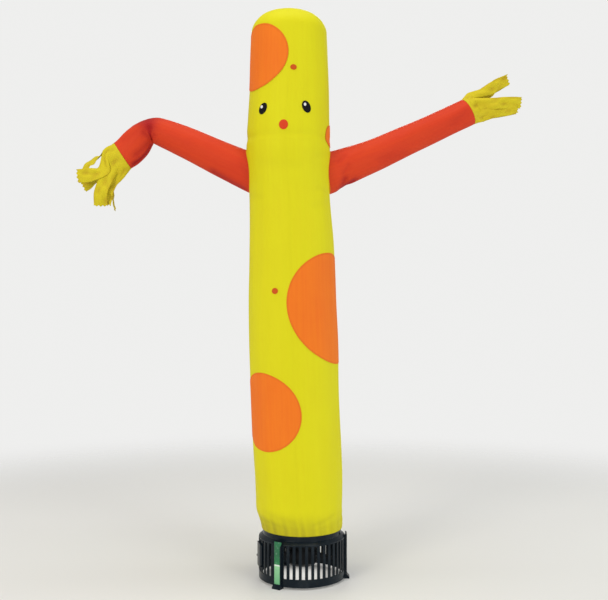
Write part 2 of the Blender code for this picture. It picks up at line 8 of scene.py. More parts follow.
import bpy
import numpy as np
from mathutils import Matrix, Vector

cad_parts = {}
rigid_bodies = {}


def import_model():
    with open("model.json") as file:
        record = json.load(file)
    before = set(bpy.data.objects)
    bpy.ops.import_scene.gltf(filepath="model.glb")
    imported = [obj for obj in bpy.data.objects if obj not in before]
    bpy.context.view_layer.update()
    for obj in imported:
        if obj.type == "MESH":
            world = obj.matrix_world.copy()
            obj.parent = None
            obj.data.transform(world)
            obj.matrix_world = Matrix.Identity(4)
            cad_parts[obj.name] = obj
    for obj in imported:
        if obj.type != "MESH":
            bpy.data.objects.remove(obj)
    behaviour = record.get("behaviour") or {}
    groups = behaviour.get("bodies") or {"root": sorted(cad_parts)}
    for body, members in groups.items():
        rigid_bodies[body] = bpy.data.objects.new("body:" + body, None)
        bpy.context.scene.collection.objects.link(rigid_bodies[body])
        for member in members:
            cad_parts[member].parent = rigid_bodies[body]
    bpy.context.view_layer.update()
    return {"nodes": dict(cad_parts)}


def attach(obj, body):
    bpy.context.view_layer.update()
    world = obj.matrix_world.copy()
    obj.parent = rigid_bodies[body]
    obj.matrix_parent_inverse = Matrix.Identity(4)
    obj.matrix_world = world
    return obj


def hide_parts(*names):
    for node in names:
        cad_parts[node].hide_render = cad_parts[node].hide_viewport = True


for startup_object in list(bpy.data.objects):
    bpy.data.objects.remove(startup_object)
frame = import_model()

# Thickness of the cloth and of a patch, and how far a patch lies off the cloth under it
CLOTH = 0.002
PATCH = 0.0012
PATCH_LIFT = 0.0006
UP = np.array((0.0, 0.0, 1.0))
BACK = np.array((0.0, 1.0, 0.0))


def table(kind, *rows):
    """Rows with the kind's named columns."""
    return tuple(kind(*row) for row in rows)


# The cloth tube, from its hem up to where the domed top starts
Section = namedtuple("Section", "z centre_x radius")
BODY_SECTIONS = table(
    Section,
    (0.292, 0.000, 0.2316),
    (0.322, -0.002, 0.2345),
    (0.350, -0.006, 0.2405),
    (0.388, -0.014, 0.2470),
    (0.475, -0.017, 0.2505),
    (0.562, -0.020, 0.2530),
    (0.737, -0.029, 0.2560),
    (1.086, -0.041, 0.2560),
    (1.348, -0.049, 0.2585),
    (1.610, -0.055, 0.2530),
    (1.785, -0.056, 0.2475),
    (1.959, -0.059, 0.2435),
    (2.134, -0.066, 0.2360),
    (2.221, -0.070, 0.2335),
    (2.352, -0.077, 0.2365),
    (2.483, -0.081, 0.2440),
    (2.512, -0.081, 0.2430),
    (2.535, -0.081, 0.2390),
    (2.560, -0.081, 0.2402),
    (2.658, -0.079, 0.2370),
    (2.832, -0.073, 0.2300),
    (3.000, -0.074, 0.2240),
    (3.152, -0.076, 0.2180),
)
DOME_HEIGHT = 0.138
DOME_ARC = 0.285
DOME_FULLNESS = 2.15
BODY_COLUMNS = 160

# The tube's cloth is laid out flat at this radius, for its weave
UNROLLED_RADIUS = 0.25

# How finely the tube's rows lie: up to each height, at this spacing
RowBand = namedtuple("RowBand", "top spacing")
ROW_BANDS = table(
    RowBand,
    (0.420, 0.0050),
    (2.180, 0.0160),
    (2.640, 0.0070),
    (3.152, 0.0125),
    (3.437, 0.0070),
)

# Slow swells all over the tube: waves around it, metres from wave to wave up it
Swell = namedtuple("Swell", "around up phase depth")
SWELLS = table(
    Swell,
    (3, 2.10, 0.4, 0.0016),
    (5, 0.95, 2.1, 0.0011),
    (7, -0.62, 4.0, 0.0008),
    (12, 1.60, 1.0, 0.0006),
    (17, -1.10, 5.2, 0.0005),
)

# Creases in the tube: from one place to another, degrees round it from the front and height
Crease = namedtuple("Crease", "degrees_a at_a degrees_b at_b width depth")
BODY_CREASES = table(
    Crease,
    (-92, 2.552, -52, 2.536, 0.022, 0.0018),
    (-86, 2.500, -58, 2.470, 0.020, 0.0011),
    (94, 2.500, 56, 2.528, 0.022, 0.0018),
    (70, 2.448, 44, 2.420, 0.020, 0.0011),
    (72, 2.226, 44, 2.240, 0.020, 0.0016),
    (70, 2.180, 36, 2.140, 0.024, 0.0013),
    (-76, 2.215, -44, 2.190, 0.022, 0.0014),
    (-40, 2.380, 12, 2.360, 0.036, 0.0011),
    (-20, 2.520, 30, 2.516, 0.030, 0.0009),
    (130, 2.530, 205, 2.522, 0.018, 0.0036),
    (120, 2.300, 150, 2.240, 0.016, 0.0026),
    (240, 2.330, 212, 2.250, 0.016, 0.0026),
    (160, 1.300, 190, 1.700, 0.030, 0.0024),
    (215, 0.900, 185, 1.120, 0.026, 0.0022),
    (-70, 0.372, -28, 0.338, 0.012, 0.0026),
    (-52, 0.420, -8, 0.372, 0.016, 0.0018),
    (18, 0.352, 52, 0.392, 0.012, 0.0024),
    (60, 0.345, 100, 0.372, 0.012, 0.0026),
    (120, 0.350, 170, 0.392, 0.014, 0.0026),
    (190, 0.380, 240, 0.346, 0.014, 0.0026),
)

# How strongly shade is painted into the tube's creases, towards its darker colour, and the crease depth
# where it is painted in full
CREASE_SHADE = 0.12
DEEP_CREASE = 0.0026

# Swells and creases die out towards the hem: none at the first height, in full at the second
SWELLS_GONE = 0.34
SWELLS_FULL = 0.50
CREASES_GONE = 0.322
CREASES_FULL = 0.36

# The hem: a doubled band with two rows of stitches, gathered a little way up, with shade painted on from the
# hem up to where it fades out
HEM_BAND = 0.030
HEM_STEP = 0.0009
HEM_PUCKER = 0.0034
HEM_STITCHES_Z = (0.299, 0.3165)
GATHERS_FULL = 0.305
GATHERS_GONE = 0.395
HEM_SHADE_FULL = 0.310
HEM_SHADE_GONE = 0.440

# The sleeves, as seen from the front: each row goes on by its run while it turns by its degrees
ArmRow = namedtuple("ArmRow", "run turn half_width half_depth")
Arm = namedtuple("Arm", "start_x start_y start_z heading lean_back rows")
ARM_LEFT = Arm(
    -0.200,
    0.040,
    2.313,
    155.6,
    -0.044,
    table(
        ArmRow,
        (0.000, 0.0, 0.1110, 0.1080),
        (0.120, 0.0, 0.1090, 0.1050),
        (0.150, 0.0, 0.1010, 0.0980),
        (0.160, 0.0, 0.0930, 0.0915),
        (0.150, 1.0, 0.0850, 0.0855),
        (0.121, 4.0, 0.0740, 0.0800),
        (0.026, 18.0, 0.0690, 0.0780),
        (0.025, 21.0, 0.0660, 0.0765),
        (0.025, 20.0, 0.0680, 0.0740),
        (0.026, 11.0, 0.0770, 0.0700),
        (0.053, 1.0, 0.0890, 0.0640),
        (0.054, -8.0, 0.0900, 0.0600),
        (0.054, -10.0, 0.0870, 0.0580),
    ),
)
ARM_RIGHT = Arm(
    0.050,
    0.040,
    2.325,
    19.5,
    0.138,
    table(
        ArmRow,
        (0.000, 0.0, 0.1220, 0.1080),
        (0.122, 0.0, 0.1200, 0.1060),
        (0.045, 0.0, 0.1080, 0.1010),
        (0.055, 0.0, 0.1040, 0.0990),
        (0.105, 3.0, 0.0970, 0.0955),
        (0.135, 3.0, 0.0905, 0.0905),
        (0.140, 0.0, 0.0860, 0.0865),
        (0.160, 0.0, 0.0820, 0.0825),
        (0.160, 0.0, 0.0800, 0.0795),
        (0.070, 0.0, 0.0800, 0.0775),
        (0.040, 4.0, 0.0800, 0.0765),
    ),
)
ARM_COLUMNS = 90
ARM_SPACING = 0.005

# A sleeve's root is sunk a little into the tube, and comes out of it within this length
ARM_START_SINK = 0.004
ARM_START_WITHIN = 0.5

# A sleeve is smooth in its last stretch: creased up to the first place, metres from its end
WRIST_CREASED = 0.035
WRIST_SMOOTH = 0.004

# The holes in the tube lie this far inside the sleeves' roots
ARMHOLE_MARGIN = 0.014
ARMHOLE_ALONG = 0.12
SHOULDER_LOW = 2.1
SHOULDER_HIGH = 2.6

# Creases in the sleeves: from one place to another, metres along the sleeve and degrees round it,
# from its lower side on the left arm and its upper side on the right one, by the back. The shade is
# how strongly shade is painted along the crease, towards the cloth's darker colour
ArmCrease = namedtuple("ArmCrease", "at_a degrees_a at_b degrees_b width depth shade")
ARM_LEFT_CREASES = table(
    ArmCrease,
    (0.752, 350, 0.742, 270, 0.014, 0.0085, 0.90),
    (0.742, 270, 0.746, 200, 0.022, 0.0050, 0.85),
    (0.738, 350, 0.708, 300, 0.013, 0.0040, 0.45),
    (0.768, 344, 0.784, 280, 0.014, 0.0040, 0.50),
    (0.752, 10, 0.742, 84, 0.015, 0.0085, 0.90),
    (0.742, 84, 0.748, 130, 0.018, 0.0060, 0.70),
    (0.766, 14, 0.790, 70, 0.013, 0.0045, 0.45),
    (0.820, 348, 0.935, 338, 0.016, 0.0036, 0.90),
    (0.800, 326, 0.900, 310, 0.016, 0.0026, 0.45),
    (0.800, 252, 0.905, 230, 0.016, 0.0020, 0.15),
    (0.110, 345, 0.300, 338, 0.020, 0.0022, 0.60),
    (0.105, 286, 0.170, 270, 0.016, 0.0018, 0.10),
    (0.130, 40, 0.230, 66, 0.016, 0.0024, 0.25),
)
ARM_RIGHT_CREASES = table(
    ArmCrease,
    (0.150, 184, 0.225, 198, 0.018, 0.0046, 0.90),
    (0.150, 198, 0.176, 224, 0.014, 0.0036, 0.55),
    (0.178, 244, 0.215, 262, 0.011, 0.0026, 0.15),
    (0.170, 284, 0.215, 296, 0.012, 0.0024, 0.20),
    (0.250, 276, 0.330, 290, 0.015, 0.0014, 0.05),
    (0.190, 170, 0.280, 150, 0.014, 0.0034, 0.50),
    (0.170, 120, 0.250, 96, 0.014, 0.0026, 0.30),
    (0.420, 236, 0.560, 216, 0.018, 0.0018, 0.15),
    (0.900, 250, 1.000, 268, 0.016, 0.0018, 0.15),
)
# How much wider than its trough each crease's painted shade spreads
SHADE_SPREAD = 1.7

# The hands: a cuff that goes flat and sags towards its end, cut there into six strips of one width.
# The strips go round the cuff as its points do, and each one's rows go outwards. The seed makes one
# hand's crumples differ from the other's
StripRow = namedtuple("StripRow", "x y z twist")
Hand = namedtuple("Hand", "cuff end_width end_depth sag strip_half seed strips")


def strip(*rows):
    """The rows of one strip."""
    return table(StripRow, *rows)


RING_POINTS = 18
STRIP_FINE = 5
CUFF_ROWS = 16
STRIP_ROWS = 44
STRIP_LENGTH = 0.22
SEAM_GAP = 0.0009
# Shade painted into the folds of the cuff and the strips: how strongly, and the fold depth where it is
# painted in full
CUFF_SHADE = 0.5
CUFF_DEEP_FOLD = 0.006
STRIP_SHADE = 0.6
STRIP_DEEP_FOLD = 0.007
HAND_LEFT = Hand(
    0.078,
    0.098,
    0.042,
    0.014,
    0.039,
    0,
    (
        # lowest of the back, seen on edge
        strip((-1.116, 0.040, 2.275, 50), (-1.112, 0.045, 2.210, 68), (-1.097, 0.040, 2.140, 80)),
        # middle of the back, reaching out to the left
        strip((-1.180, 0.050, 2.334, 58), (-1.222, 0.052, 2.308, 50), (-1.284, 0.040, 2.276, 22)),
        # top of the back, arching over the gap
        strip((-1.202, 0.020, 2.432, 56), (-1.246, 0.015, 2.398, 55), (-1.268, 0.000, 2.358, 50)),
        # top of the front, folded down and across to the left
        strip((-1.145, -0.046, 2.360, 14), (-1.215, -0.060, 2.331, 4), (-1.294, -0.050, 2.324, -5)),
        # middle of the front, seen broad as it hangs down
        strip((-1.134, -0.055, 2.295, 5), (-1.156, -0.068, 2.226, 0), (-1.158, -0.055, 2.152, -10)),
        # lowest of the front
        strip((-1.118, -0.030, 2.258, 12), (-1.132, -0.035, 2.210, 12), (-1.138, -0.025, 2.164, 18)),
    ),
)
HAND_RIGHT = Hand(
    0.060,
    0.094,
    0.044,
    0.000,
    0.034,
    7,
    (
        # top of the back
        strip((1.128, 0.205, 2.868, 20), (1.170, 0.210, 2.894, 32), (1.222, 0.205, 2.922, 45)),
        # middle of the back
        strip((1.150, 0.215, 2.790, 15), (1.220, 0.220, 2.802, 25), (1.306, 0.210, 2.808, 38)),
        # lowest of the back
        strip((1.150, 0.200, 2.738, 20), (1.220, 0.200, 2.752, 30), (1.300, 0.190, 2.768, 45)),
        # lowest of the front
        strip((1.146, 0.140, 2.732, 15), (1.210, 0.140, 2.742, 25), (1.286, 0.150, 2.752, 38)),
        # middle of the front
        strip((1.146, 0.120, 2.780, 10), (1.218, 0.120, 2.785, 15), (1.308, 0.135, 2.788, 28)),
        # top of the front, pointing up
        strip((1.118, 0.135, 2.868, 10), (1.170, 0.140, 2.899, 18), (1.232, 0.145, 2.930, 32)),
    ),
)

# Patches on the tube: place round it from the front, height, half sizes and slope of the long axis
Patch = namedtuple("Patch", "name degrees z half_width half_height slope lift slot")
PATCHES = table(
    Patch,
    ("spot_head", -53.2, 2.986, 0.208, 0.186, 0.070, 0.0006, "orange_nylon"),
    ("dot_head", 6.7, 2.907, 0.018, 0.0155, 0.0, 0.0, "orange_nylon"),
    ("spot_shoulder", 81.0, 2.553, 0.068, 0.064, 0.0, 0.0008, "orange_nylon"),
    ("spot_belly", 65.3, 1.561, 0.320, 0.315, -0.10, 0.0, "orange_nylon"),
    ("dot_belly", -22.2, 1.660, 0.018, 0.017, 0.0, 0.0, "orange_nylon"),
    ("spot_low", -44.1, 0.980, 0.233, 0.221, -0.045, 0.0, "orange_nylon"),
    ("eye_left", -36.5, 2.684, 0.0275, 0.0310, 0.30, 0.0, "black_nylon"),
    ("eye_right", 26.2, 2.690, 0.0285, 0.0325, -0.30, 0.0, "black_nylon"),
    ("glint_left", -38.5, 2.694, 0.008, 0.009, 0.0, 0.0015, "white_nylon"),
    ("glint_right", 23.8, 2.702, 0.008, 0.009, 0.0, 0.0015, "white_nylon"),
    ("nose", -5.0, 2.585, 0.025, 0.0275, 0.0, 0.0, "red_nylon"),
)
PATCH_SIDES = 96
SMALL_PATCH_SIDES = 32
PATCH_RINGS = 22
RING_CROWDING = 1.6

# Patches whose half size is past STITCHED_FROM have a row of stitches in a groove, and a rolled rim
STITCHED_FROM = 0.05
STITCH_INSET = 0.007
STITCH_SINK = 0.0002
GROOVE_DEPTH = 0.0005
GROOVE_WIDTH = 0.0018
ROLL_HEIGHT = 0.0004
ROLL_FROM = 0.009
ROLL_FULL = 0.004

# How strongly the dots, and the rims of the stitched patches, go to the darker orange that is their own
# deeper tone
DOT_SHADE = 0.95
RIM_SHADE = 0.22
RIM_FROM = 0.010
RIM_FULL = 0.003

# Sewing. A stitch is thin at its ends: places along it, and how thick it is there
STITCH_PITCH = 0.0085
STITCH_LENGTH = 0.0058
STITCH_RADIUS = 0.0007
STITCH_PROFILE = ((0.0, 0.35), (0.2, 1.0), (0.8, 1.0), (1.0, 0.35))
HEM_STITCH_LIFT = 0.0003
PIPING_RADIUS = 0.0026
WRIST_PIPING = 0.7
PIPING_SIDES = 8

# Where the sleeves are sewn, metres in from their ends and out from the cloth's face
Sewn = namedtuple("Sewn", "inset lift")
ROOT_SEAM = Sewn(0.004, 0.0006)
ROOT_STITCHES = Sewn(0.014, 0.0004)
WRIST_SEAM = Sewn(0.001, -0.0004)
WRIST_STITCHES = table(Sewn, (0.009, 0.0003), (0.016, 0.0003))

# Nylon: the shares that streaks and clouds have in its colour, and the pitch of its weave. The wave
# texture has one wave for each WAVE_PERIOD at scale 1
NYLON_ROUGHNESS = 0.55
STREAK_SHARE = 0.25
CLOUD_SHARE = 0.35
WEAVE_PITCH = 0.0011
WAVE_PERIOD = 0.314

# The blower
Ring = namedtuple("Ring", "radius z")
WALL = 0.004
HOUSING_RADIUS = 0.250
NECK_RADIUS = 0.2275
HOUSING_RINGS = table(
    Ring,
    (HOUSING_RADIUS, 0.012),
    (HOUSING_RADIUS, 0.057),
    (HOUSING_RADIUS, 0.240),
    (HOUSING_RADIUS, 0.246),
    (NECK_RADIUS, 0.262),
    (NECK_RADIUS, 0.340),
)
SLOTTED_BAND = 1
SLOTS = 45
SLOT_DEGREES = 4.1
CELL_COLUMNS = 2
EDGE_ROUNDING = 0.0009
SHARP_DEGREES = 35

# The floor: how far out it shows in full, and where it has faded out
FLOOR_FULL = 2.5
FLOOR_GONE = 6.0

# The studio: how strongly the background lights the object, and how bright it is where it shows
WORLD_LIGHT = 0.44
WORLD_SEEN = 0.86
Lamp = namedtuple("Lamp", "name place target size watts colour")
LAMPS = table(
    Lamp,
    ("key", (-4.6, -6.8, 3.6), (0, 0, 1.6), (2.6, 4.0), 255, (1.0, 0.94, 0.82)),
    ("fill", (4.8, -6.2, 2.4), (0, 0, 1.4), (2.4, 3.6), 150, (0.96, 1.0, 0.96)),
    ("top", (0.0, -0.8, 7.0), (0, 0, 1.6), (4.0, 2.4), 115, (1.0, 1.0, 1.0)),
    ("side left", (-5.5, 0.6, 1.5), (0, 0, 1.4), (1.6, 3.2), 42, (1.0, 0.95, 0.86)),
    ("side right", (5.5, 0.6, 1.5), (0, 0, 1.4), (1.6, 3.2), 62, (0.98, 1.0, 0.94)),
    ("back", (0.5, 6.0, 5.2), (0, 0, 1.6), (3.0, 3.0), 90, (1.0, 0.99, 0.96)),
    ("under the motor", (0, 0, 0.066), (0, 0, 0), (0.30, 0.30), 0.25, (1.0, 0.98, 0.95)),
)

# The camera: level, and its focal length is given in pixels of a picture 608 wide
CAMERA_PLACE = (0.012, -5.2, 1.61)
SENSOR_WIDTH = 36
FOCAL_PIXELS = 893.5
PICTURE_WIDTH = 608

# The strip of film on the front leg. It widens at one side between the two flare heights
LABEL_DEGREES = -32.0
LABEL_FACE = 0.2613
LABEL_THICK = 0.0006
LABEL_HALF = 0.018
LABEL_FLARE = 0.0110
LABEL_BOTTOM = 0.0255
LABEL_TOP = 0.2620
LABEL_FLARE_FROM = 0.232
LABEL_FLARE_FULL = 0.252
LABEL_ROWS = 60
LABEL_COLUMNS = 9

# The film's colours by height, from FILM_LOW at 0 m to FILM_TOP at 1 m, past its own top
FilmStop = namedtuple("FilmStop", "z colour")
FILM_LOW = (0.110, 0.400, 0.180)
FILM_TOP = (0.008, 0.150, 0.045)
FILM_STOPS = table(
    FilmStop,
    (0.110, (0.240, 0.560, 0.290)),
    (0.126, (0.280, 0.620, 0.330)),
    (0.129, (0.700, 0.800, 0.740)),
    (0.133, (0.700, 0.800, 0.740)),
    (0.136, (0.010, 0.200, 0.060)),
    (0.190, (0.006, 0.120, 0.045)),
    (0.260, (0.008, 0.150, 0.055)),
)
FILM_SCUFFED = (0.20, 0.36, 0.28)


def front_direction(degrees):
    """Directions out from the axis, turned from the front towards +X."""
    angle = np.radians(degrees)
    return np.stack([np.sin(angle), -np.cos(angle), np.zeros_like(angle)], axis=-1)


def smooth(at, places, values):
    """Values read from a table along a smooth curve through its rows."""
    places, values = np.asarray(places, float), np.asarray(values, float)
    slopes = np.gradient(values, places)
    i = np.clip(np.searchsorted(places, at, "right") - 1, 0, len(places) - 2)
    run = places[i + 1] - places[i]
    u = np.clip((at - places[i]) / run, 0, 1)
    rise = 3 * u**2 - 2 * u**3
    return (
        values[i] * (1 - rise)
        + values[i + 1] * rise
        + slopes[i] * run * (u**3 - 2 * u**2 + u)
        + slopes[i + 1] * run * (u**3 - u**2)
    )


def ramp(value, low, high):
    """0 below low and 1 above high, with a soft turn at both."""
    t = np.clip((value - low) / (high - low), 0, 1)
    return t * t * (3 - 2 * t)


def trough(distance, width, depth):
    """A soft trough with low ridges along both sides."""
    ridge = np.exp(-(((distance - 2.0 * width) / width) ** 2))
    return depth * (0.30 * ridge - np.exp(-((distance / width) ** 2)))


def segment_distance(x, y, ax, ay, bx, by):
    """How far points lie from the segment between a and b."""
    dx, dy = bx - ax, by - ay
    t = np.clip(((x - ax) * dx + (y - ay) * dy) / (dx * dx + dy * dy), 0, 1)
    return np.hypot(x - ax - t * dx, y - ay - t * dy)


def crease_distance(row, degrees, at, radius):
    """How far places on a round piece of cloth lie from a crease, over the cloth."""
    span = (row.degrees_b - row.degrees_a + 180) % 360 - 180
    middle = row.degrees_a + span / 2
    round_it = ((degrees - middle + 180) % 360 - 180) * math.pi / 180 * radius
    half = span / 2 * math.pi / 180 * radius
    return segment_distance(round_it, at, -half, row.at_a, half, row.at_b)


# The tube's surface


def body_section(s):
    """Height, centre and radius at s: the height up to the dome, then the arc over it."""
    heights = [row.z for row in BODY_SECTIONS]
    top = BODY_SECTIONS[-1]
    angle = np.clip((s - top.z) / DOME_ARC, 0, 1) * math.pi / 2
    z = np.minimum(s, top.z) + DOME_HEIGHT * np.sin(angle) ** (2 / DOME_FULLNESS)
    centre = smooth(s, heights, [row.centre_x for row in BODY_SECTIONS])
    radius = smooth(s, heights, [row.radius for row in BODY_SECTIONS])
    return z, centre, radius * np.cos(angle) ** (2 / DOME_FULLNESS)


def body_creases(degrees, s):
    """How far the creases alone move the cloth out."""
    _, _, radius = body_section(s)
    relief = np.zeros_like(radius)
    for row in BODY_CREASES:
        distance = crease_distance(row, degrees, s, radius)
        relief = relief + trough(distance, row.width, row.depth) * ramp(s, CREASES_GONE, CREASES_FULL)
    return relief


def hem_puckers(angle):
    """Uneven gathers round the hem, about -1.6 to 1.6."""
    return np.sin(26 * angle + 1.3 * np.sin(5 * angle)) + 0.6 * np.sin(41 * angle + 2 * np.sin(3 * angle))


def body_relief(degrees, s):
    """How far the cloth stands out from the plain tube."""
    angle = np.radians(degrees)
    dome = 1 - ramp(s, BODY_SECTIONS[-1].z, BODY_SECTIONS[-1].z + DOME_ARC)
    calm = ramp(s, SWELLS_GONE, SWELLS_FULL) * dome
    swells = [w.depth * np.sin(w.around * angle + math.tau * s / w.up + w.phase) for w in SWELLS]
    hem = BODY_SECTIONS[0].z
    near_hem = (1 - ramp(s, GATHERS_FULL, GATHERS_GONE)) * ramp(s, hem - 0.006, hem + 0.038)
    gathers = HEM_PUCKER * near_hem * (0.5 + 0.3 * hem_puckers(angle))
    step = HEM_STEP * (1 - ramp(s, hem + HEM_BAND, hem + HEM_BAND + 0.004))
    return sum(swells) * calm + gathers + step + body_creases(degrees, s)


def body_painted_shade(degrees, s):
    """How strongly shade is painted on the cloth, from 0 to 1: faintly in its creases, more at the hem."""
    angle = np.radians(degrees)
    # Painted shade: the darker colour in the creases, and a band of it above the hem that is heavier on the
    # left
    creased = CREASE_SHADE * np.clip(-body_creases(degrees, s) / DEEP_CREASE, 0, 1)
    hem_painted_shade = (1 - ramp(s, HEM_SHADE_FULL, HEM_SHADE_GONE)) * (0.78 + 0.18 * hem_puckers(angle))
    darker_left = 0.75 - 0.30 * np.sin(angle)
    return np.clip(creased + hem_painted_shade * darker_left, 0, 1)


def body_points(degrees, s, lift=0.0):
    """Points on the tube's outer face, lifted off it."""
    z, centre, radius = body_section(s)
    out = front_direction(degrees)
    z_on, _, r_on = body_section(np.minimum(s + 0.001, BODY_SECTIONS[-1].z + DOME_ARC))
    rise, shrink = z_on - z, radius - r_on
    flat = np.where(np.hypot(rise, shrink) < 1e-9, 1.0, 0.0)
    normal = out * rise[..., None] + UP * (shrink + flat)[..., None]
    normal = normal / np.linalg.norm(normal, axis=-1, keepdims=True)
    points = out * radius[..., None] + UP * z[..., None]
    points[..., 0] += centre
    return points + normal * (body_relief(degrees, s) + lift)[..., None]


def body_rows():
    """The places up the tube where its rows of points lie."""
    rows = [BODY_SECTIONS[0].z]
    for band in ROW_BANDS:
        count = round((band.top - rows[-1]) / band.spacing)
        rows += list(np.linspace(rows[-1], band.top, count + 1)[1:])
    return np.array(rows)


# Meshes


def grid_faces(rows, columns, closed=True):
    """Quads between the rows and columns of a grid of points; a closed one joins its last column to its
    first."""
    cells = columns if closed else columns - 1
    r, c = np.meshgrid(np.arange(rows - 1), np.arange(cells), indexing="ij")
    d = (c + 1) % columns
    low = r * columns
    high = low + columns
    quads = np.stack([low + c, low + d, high + d, high + c], axis=-1)
    return [tuple(int(i) for i in quad) for quad in quads.reshape(-1, 4)]


def add_object(name, points, faces, surface, smooth_angle=60.0):
    """A smooth shaded mesh that rides on the one body."""
    mesh = bpy.data.meshes.new(name)
    mesh.from_pydata([tuple(float(v) for v in p) for p in points], [], faces)
    mesh.validate()
    mesh.shade_smooth()
    mesh.set_sharp_from_angle(angle=math.radians(smooth_angle))
    obj = bpy.data.objects.new(name, mesh)
    obj.data.materials.append(surface)
    bpy.context.scene.collection.objects.link(obj)
    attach(obj, "root")
    return obj


def set_painted_shade_and_patch_tone(obj, fold):
    """Gives each vertex how far it goes to its material's darker colour, from 0 to 1: painted shade in folds
    and creases, and on patches the dots' and stitched rims' own deeper tone.
    """
    layer = obj.data.attributes.new("fold", "FLOAT", "POINT")
    layer.data.foreach_set("value", np.asarray(fold, np.float32).ravel())


def set_uv(obj, uv):
    """Gives each vertex its place on the cloth, in metres."""
    layer = obj.data.uv_layers.new(name="cloth")
    loops = np.empty(len(obj.data.loops), np.int32)
    obj.data.loops.foreach_get("vertex_index", loops)
    layer.data.foreach_set("uv", np.asarray(uv, np.float32)[loops].ravel())


def thicken(obj, thickness, offset):
    """Makes a sheet solid: offset -1 goes in from its face, 1 goes out from it."""
    solid = obj.modifiers.new("cloth", "SOLIDIFY")
    solid.thickness = thickness
    solid.offset = offset


# Materials


def feed(tree, socket, value):
    """Links an input to another node's output, or sets it; a colour is three numbers."""
    if isinstance(value, bpy.types.NodeSocket):
        tree.links.new(value, socket)
    else:
        socket.default_value = (*value, 1) if socket.type == "RGBA" else value


def fill(tree, made, **values):
    """Gives a node its values: each is one of its settings or, failing that, one of its inputs, with _
    for a space in its name."""
    for key, value in values.items():
        if hasattr(made, key):
            setattr(made, key, value)
        else:
            feed(tree, made.inputs[key.replace("_", " ")], value)
    return made


def node(tree, kind, **values):
    """A new node with its values."""
    return fill(tree, tree.nodes.new(kind), **values)


def reckoned(tree, operation, *values, **settings):
    """What a math node makes of the values."""
    made = node(tree, "ShaderNodeMath", operation=operation, **settings)
    for socket, value in zip(made.inputs, values):
        feed(tree, socket, value)
    return made.outputs["Value"]


def mixed(tree, factor, low, high):
    """A colour that goes from low to high with the factor; each is a colour or a socket."""
    mix = node(tree, "ShaderNodeMix", data_type="RGBA", Factor=factor)
    for name, value in (("A", low), ("B", high)):
        feed(tree, next(s for s in mix.inputs if s.name == name and s.type == "RGBA"), value)
    return next(s for s in mix.outputs if s.type == "RGBA")


def blended(tree, output, factor, low, high):
    """Sends the output a shader that goes from low to high with the factor."""
    mix = node(tree, "ShaderNodeMixShader", Fac=factor)
    tree.links.new(low, mix.inputs[1])
    tree.links.new(high, mix.inputs[2])
    tree.links.new(mix.outputs["Shader"], tree.nodes[output].inputs["Surface"])


def scaled(tree, source, scale):
    """Coordinates stretched along each axis."""
    return node(tree, "ShaderNodeMapping", Scale=scale, Vector=source).outputs["Vector"]


def noise(tree, source, scale, detail=3.0, low=0.35, high=0.65):
    """Cloudy noise spread over 0 to 1 between the low and high values."""
    clouds = node(tree, "ShaderNodeTexNoise", Scale=scale, Detail=detail, Vector=source).outputs["Fac"]
    return node(tree, "ShaderNodeMapRange", From_Min=low, From_Max=high, Value=clouds).outputs["Result"]


def bump(tree, height, distance, strength, **normal):
    """A bumped normal, over another one where that is given."""
    made = node(tree, "ShaderNodeBump", Distance=distance, Strength=strength, Height=height, **normal)
    return made.outputs["Normal"]


def new_material(name, **values):
    """A material, its node tree and its shader with the values."""
    made = bpy.data.materials.new(name)
    made.use_nodes = True
    tree = made.node_tree
    return made, tree, fill(tree, tree.nodes["Principled BSDF"], **values)


def nylon(name, colour, deep, crease):
    """Light woven nylon: its colour varies slowly and in faint streaks, over a fine plain weave, and
    goes to a darker colour as each vertex asks: painted shade in folds and creases, and on patches
    their own deeper tone."""
    made, tree, shader = new_material(
        name,
        Roughness=NYLON_ROUGHNESS,
        Sheen_Weight=0.05,
        Sheen_Roughness=0.45,
        Sheen_Tint=colour,
        Specular_IOR_Level=0.08,
    )
    coords = node(tree, "ShaderNodeTexCoord").outputs
    clouds = noise(tree, coords["Object"], 3.2)
    streaks = noise(tree, scaled(tree, coords["UV"], (60, 2.2, 1)), 1.0)
    tone = reckoned(tree, "MULTIPLY", streaks, STREAK_SHARE)
    tone = reckoned(tree, "MULTIPLY_ADD", clouds, CLOUD_SHARE, tone, use_clamp=True)
    fold = node(tree, "ShaderNodeAttribute", attribute_name="fold").outputs["Fac"]
    # The colour with painted shade mixed in, and on patches their own deeper tone
    folded = mixed(tree, fold, mixed(tree, tone, colour, deep), crease)
    waves = []
    for way in ("X", "Y"):
        wave = node(tree, "ShaderNodeTexWave", wave_type="BANDS", bands_direction=way, Vector=coords["UV"])
        wave.inputs["Scale"].default_value = WAVE_PERIOD / WEAVE_PITCH
        waves.append(wave.outputs["Fac"])
    ripple = noise(tree, scaled(tree, coords["UV"], (9, 3, 1)), 1.0, 4.0, 0.2, 0.8)
    soft = bump(tree, ripple, 0.004, 0.30)
    woven = bump(tree, reckoned(tree, "ADD", *waves), 0.0002, 0.35, Normal=soft)
    fill(tree, shader, Base_Color=folded, Normal=woven)
    return made


def plastic(name, colour, dusty, roughness):
    """Moulded plastic or paint: a fine grain, with dust on it in patches."""
    made, tree, shader = new_material(name, Roughness=roughness, Specular_IOR_Level=0.16)
    coords = node(tree, "ShaderNodeTexCoord").outputs["Object"]
    dust = noise(tree, coords, 14.0, 5.0, 0.50, 0.80)
    grain = bump(tree, noise(tree, coords, 420.0, 2.0), 0.0003, 0.25)
    fill(tree, shader, Base_Color=mixed(tree, dust, colour, dusty), Normal=grain)
    return made
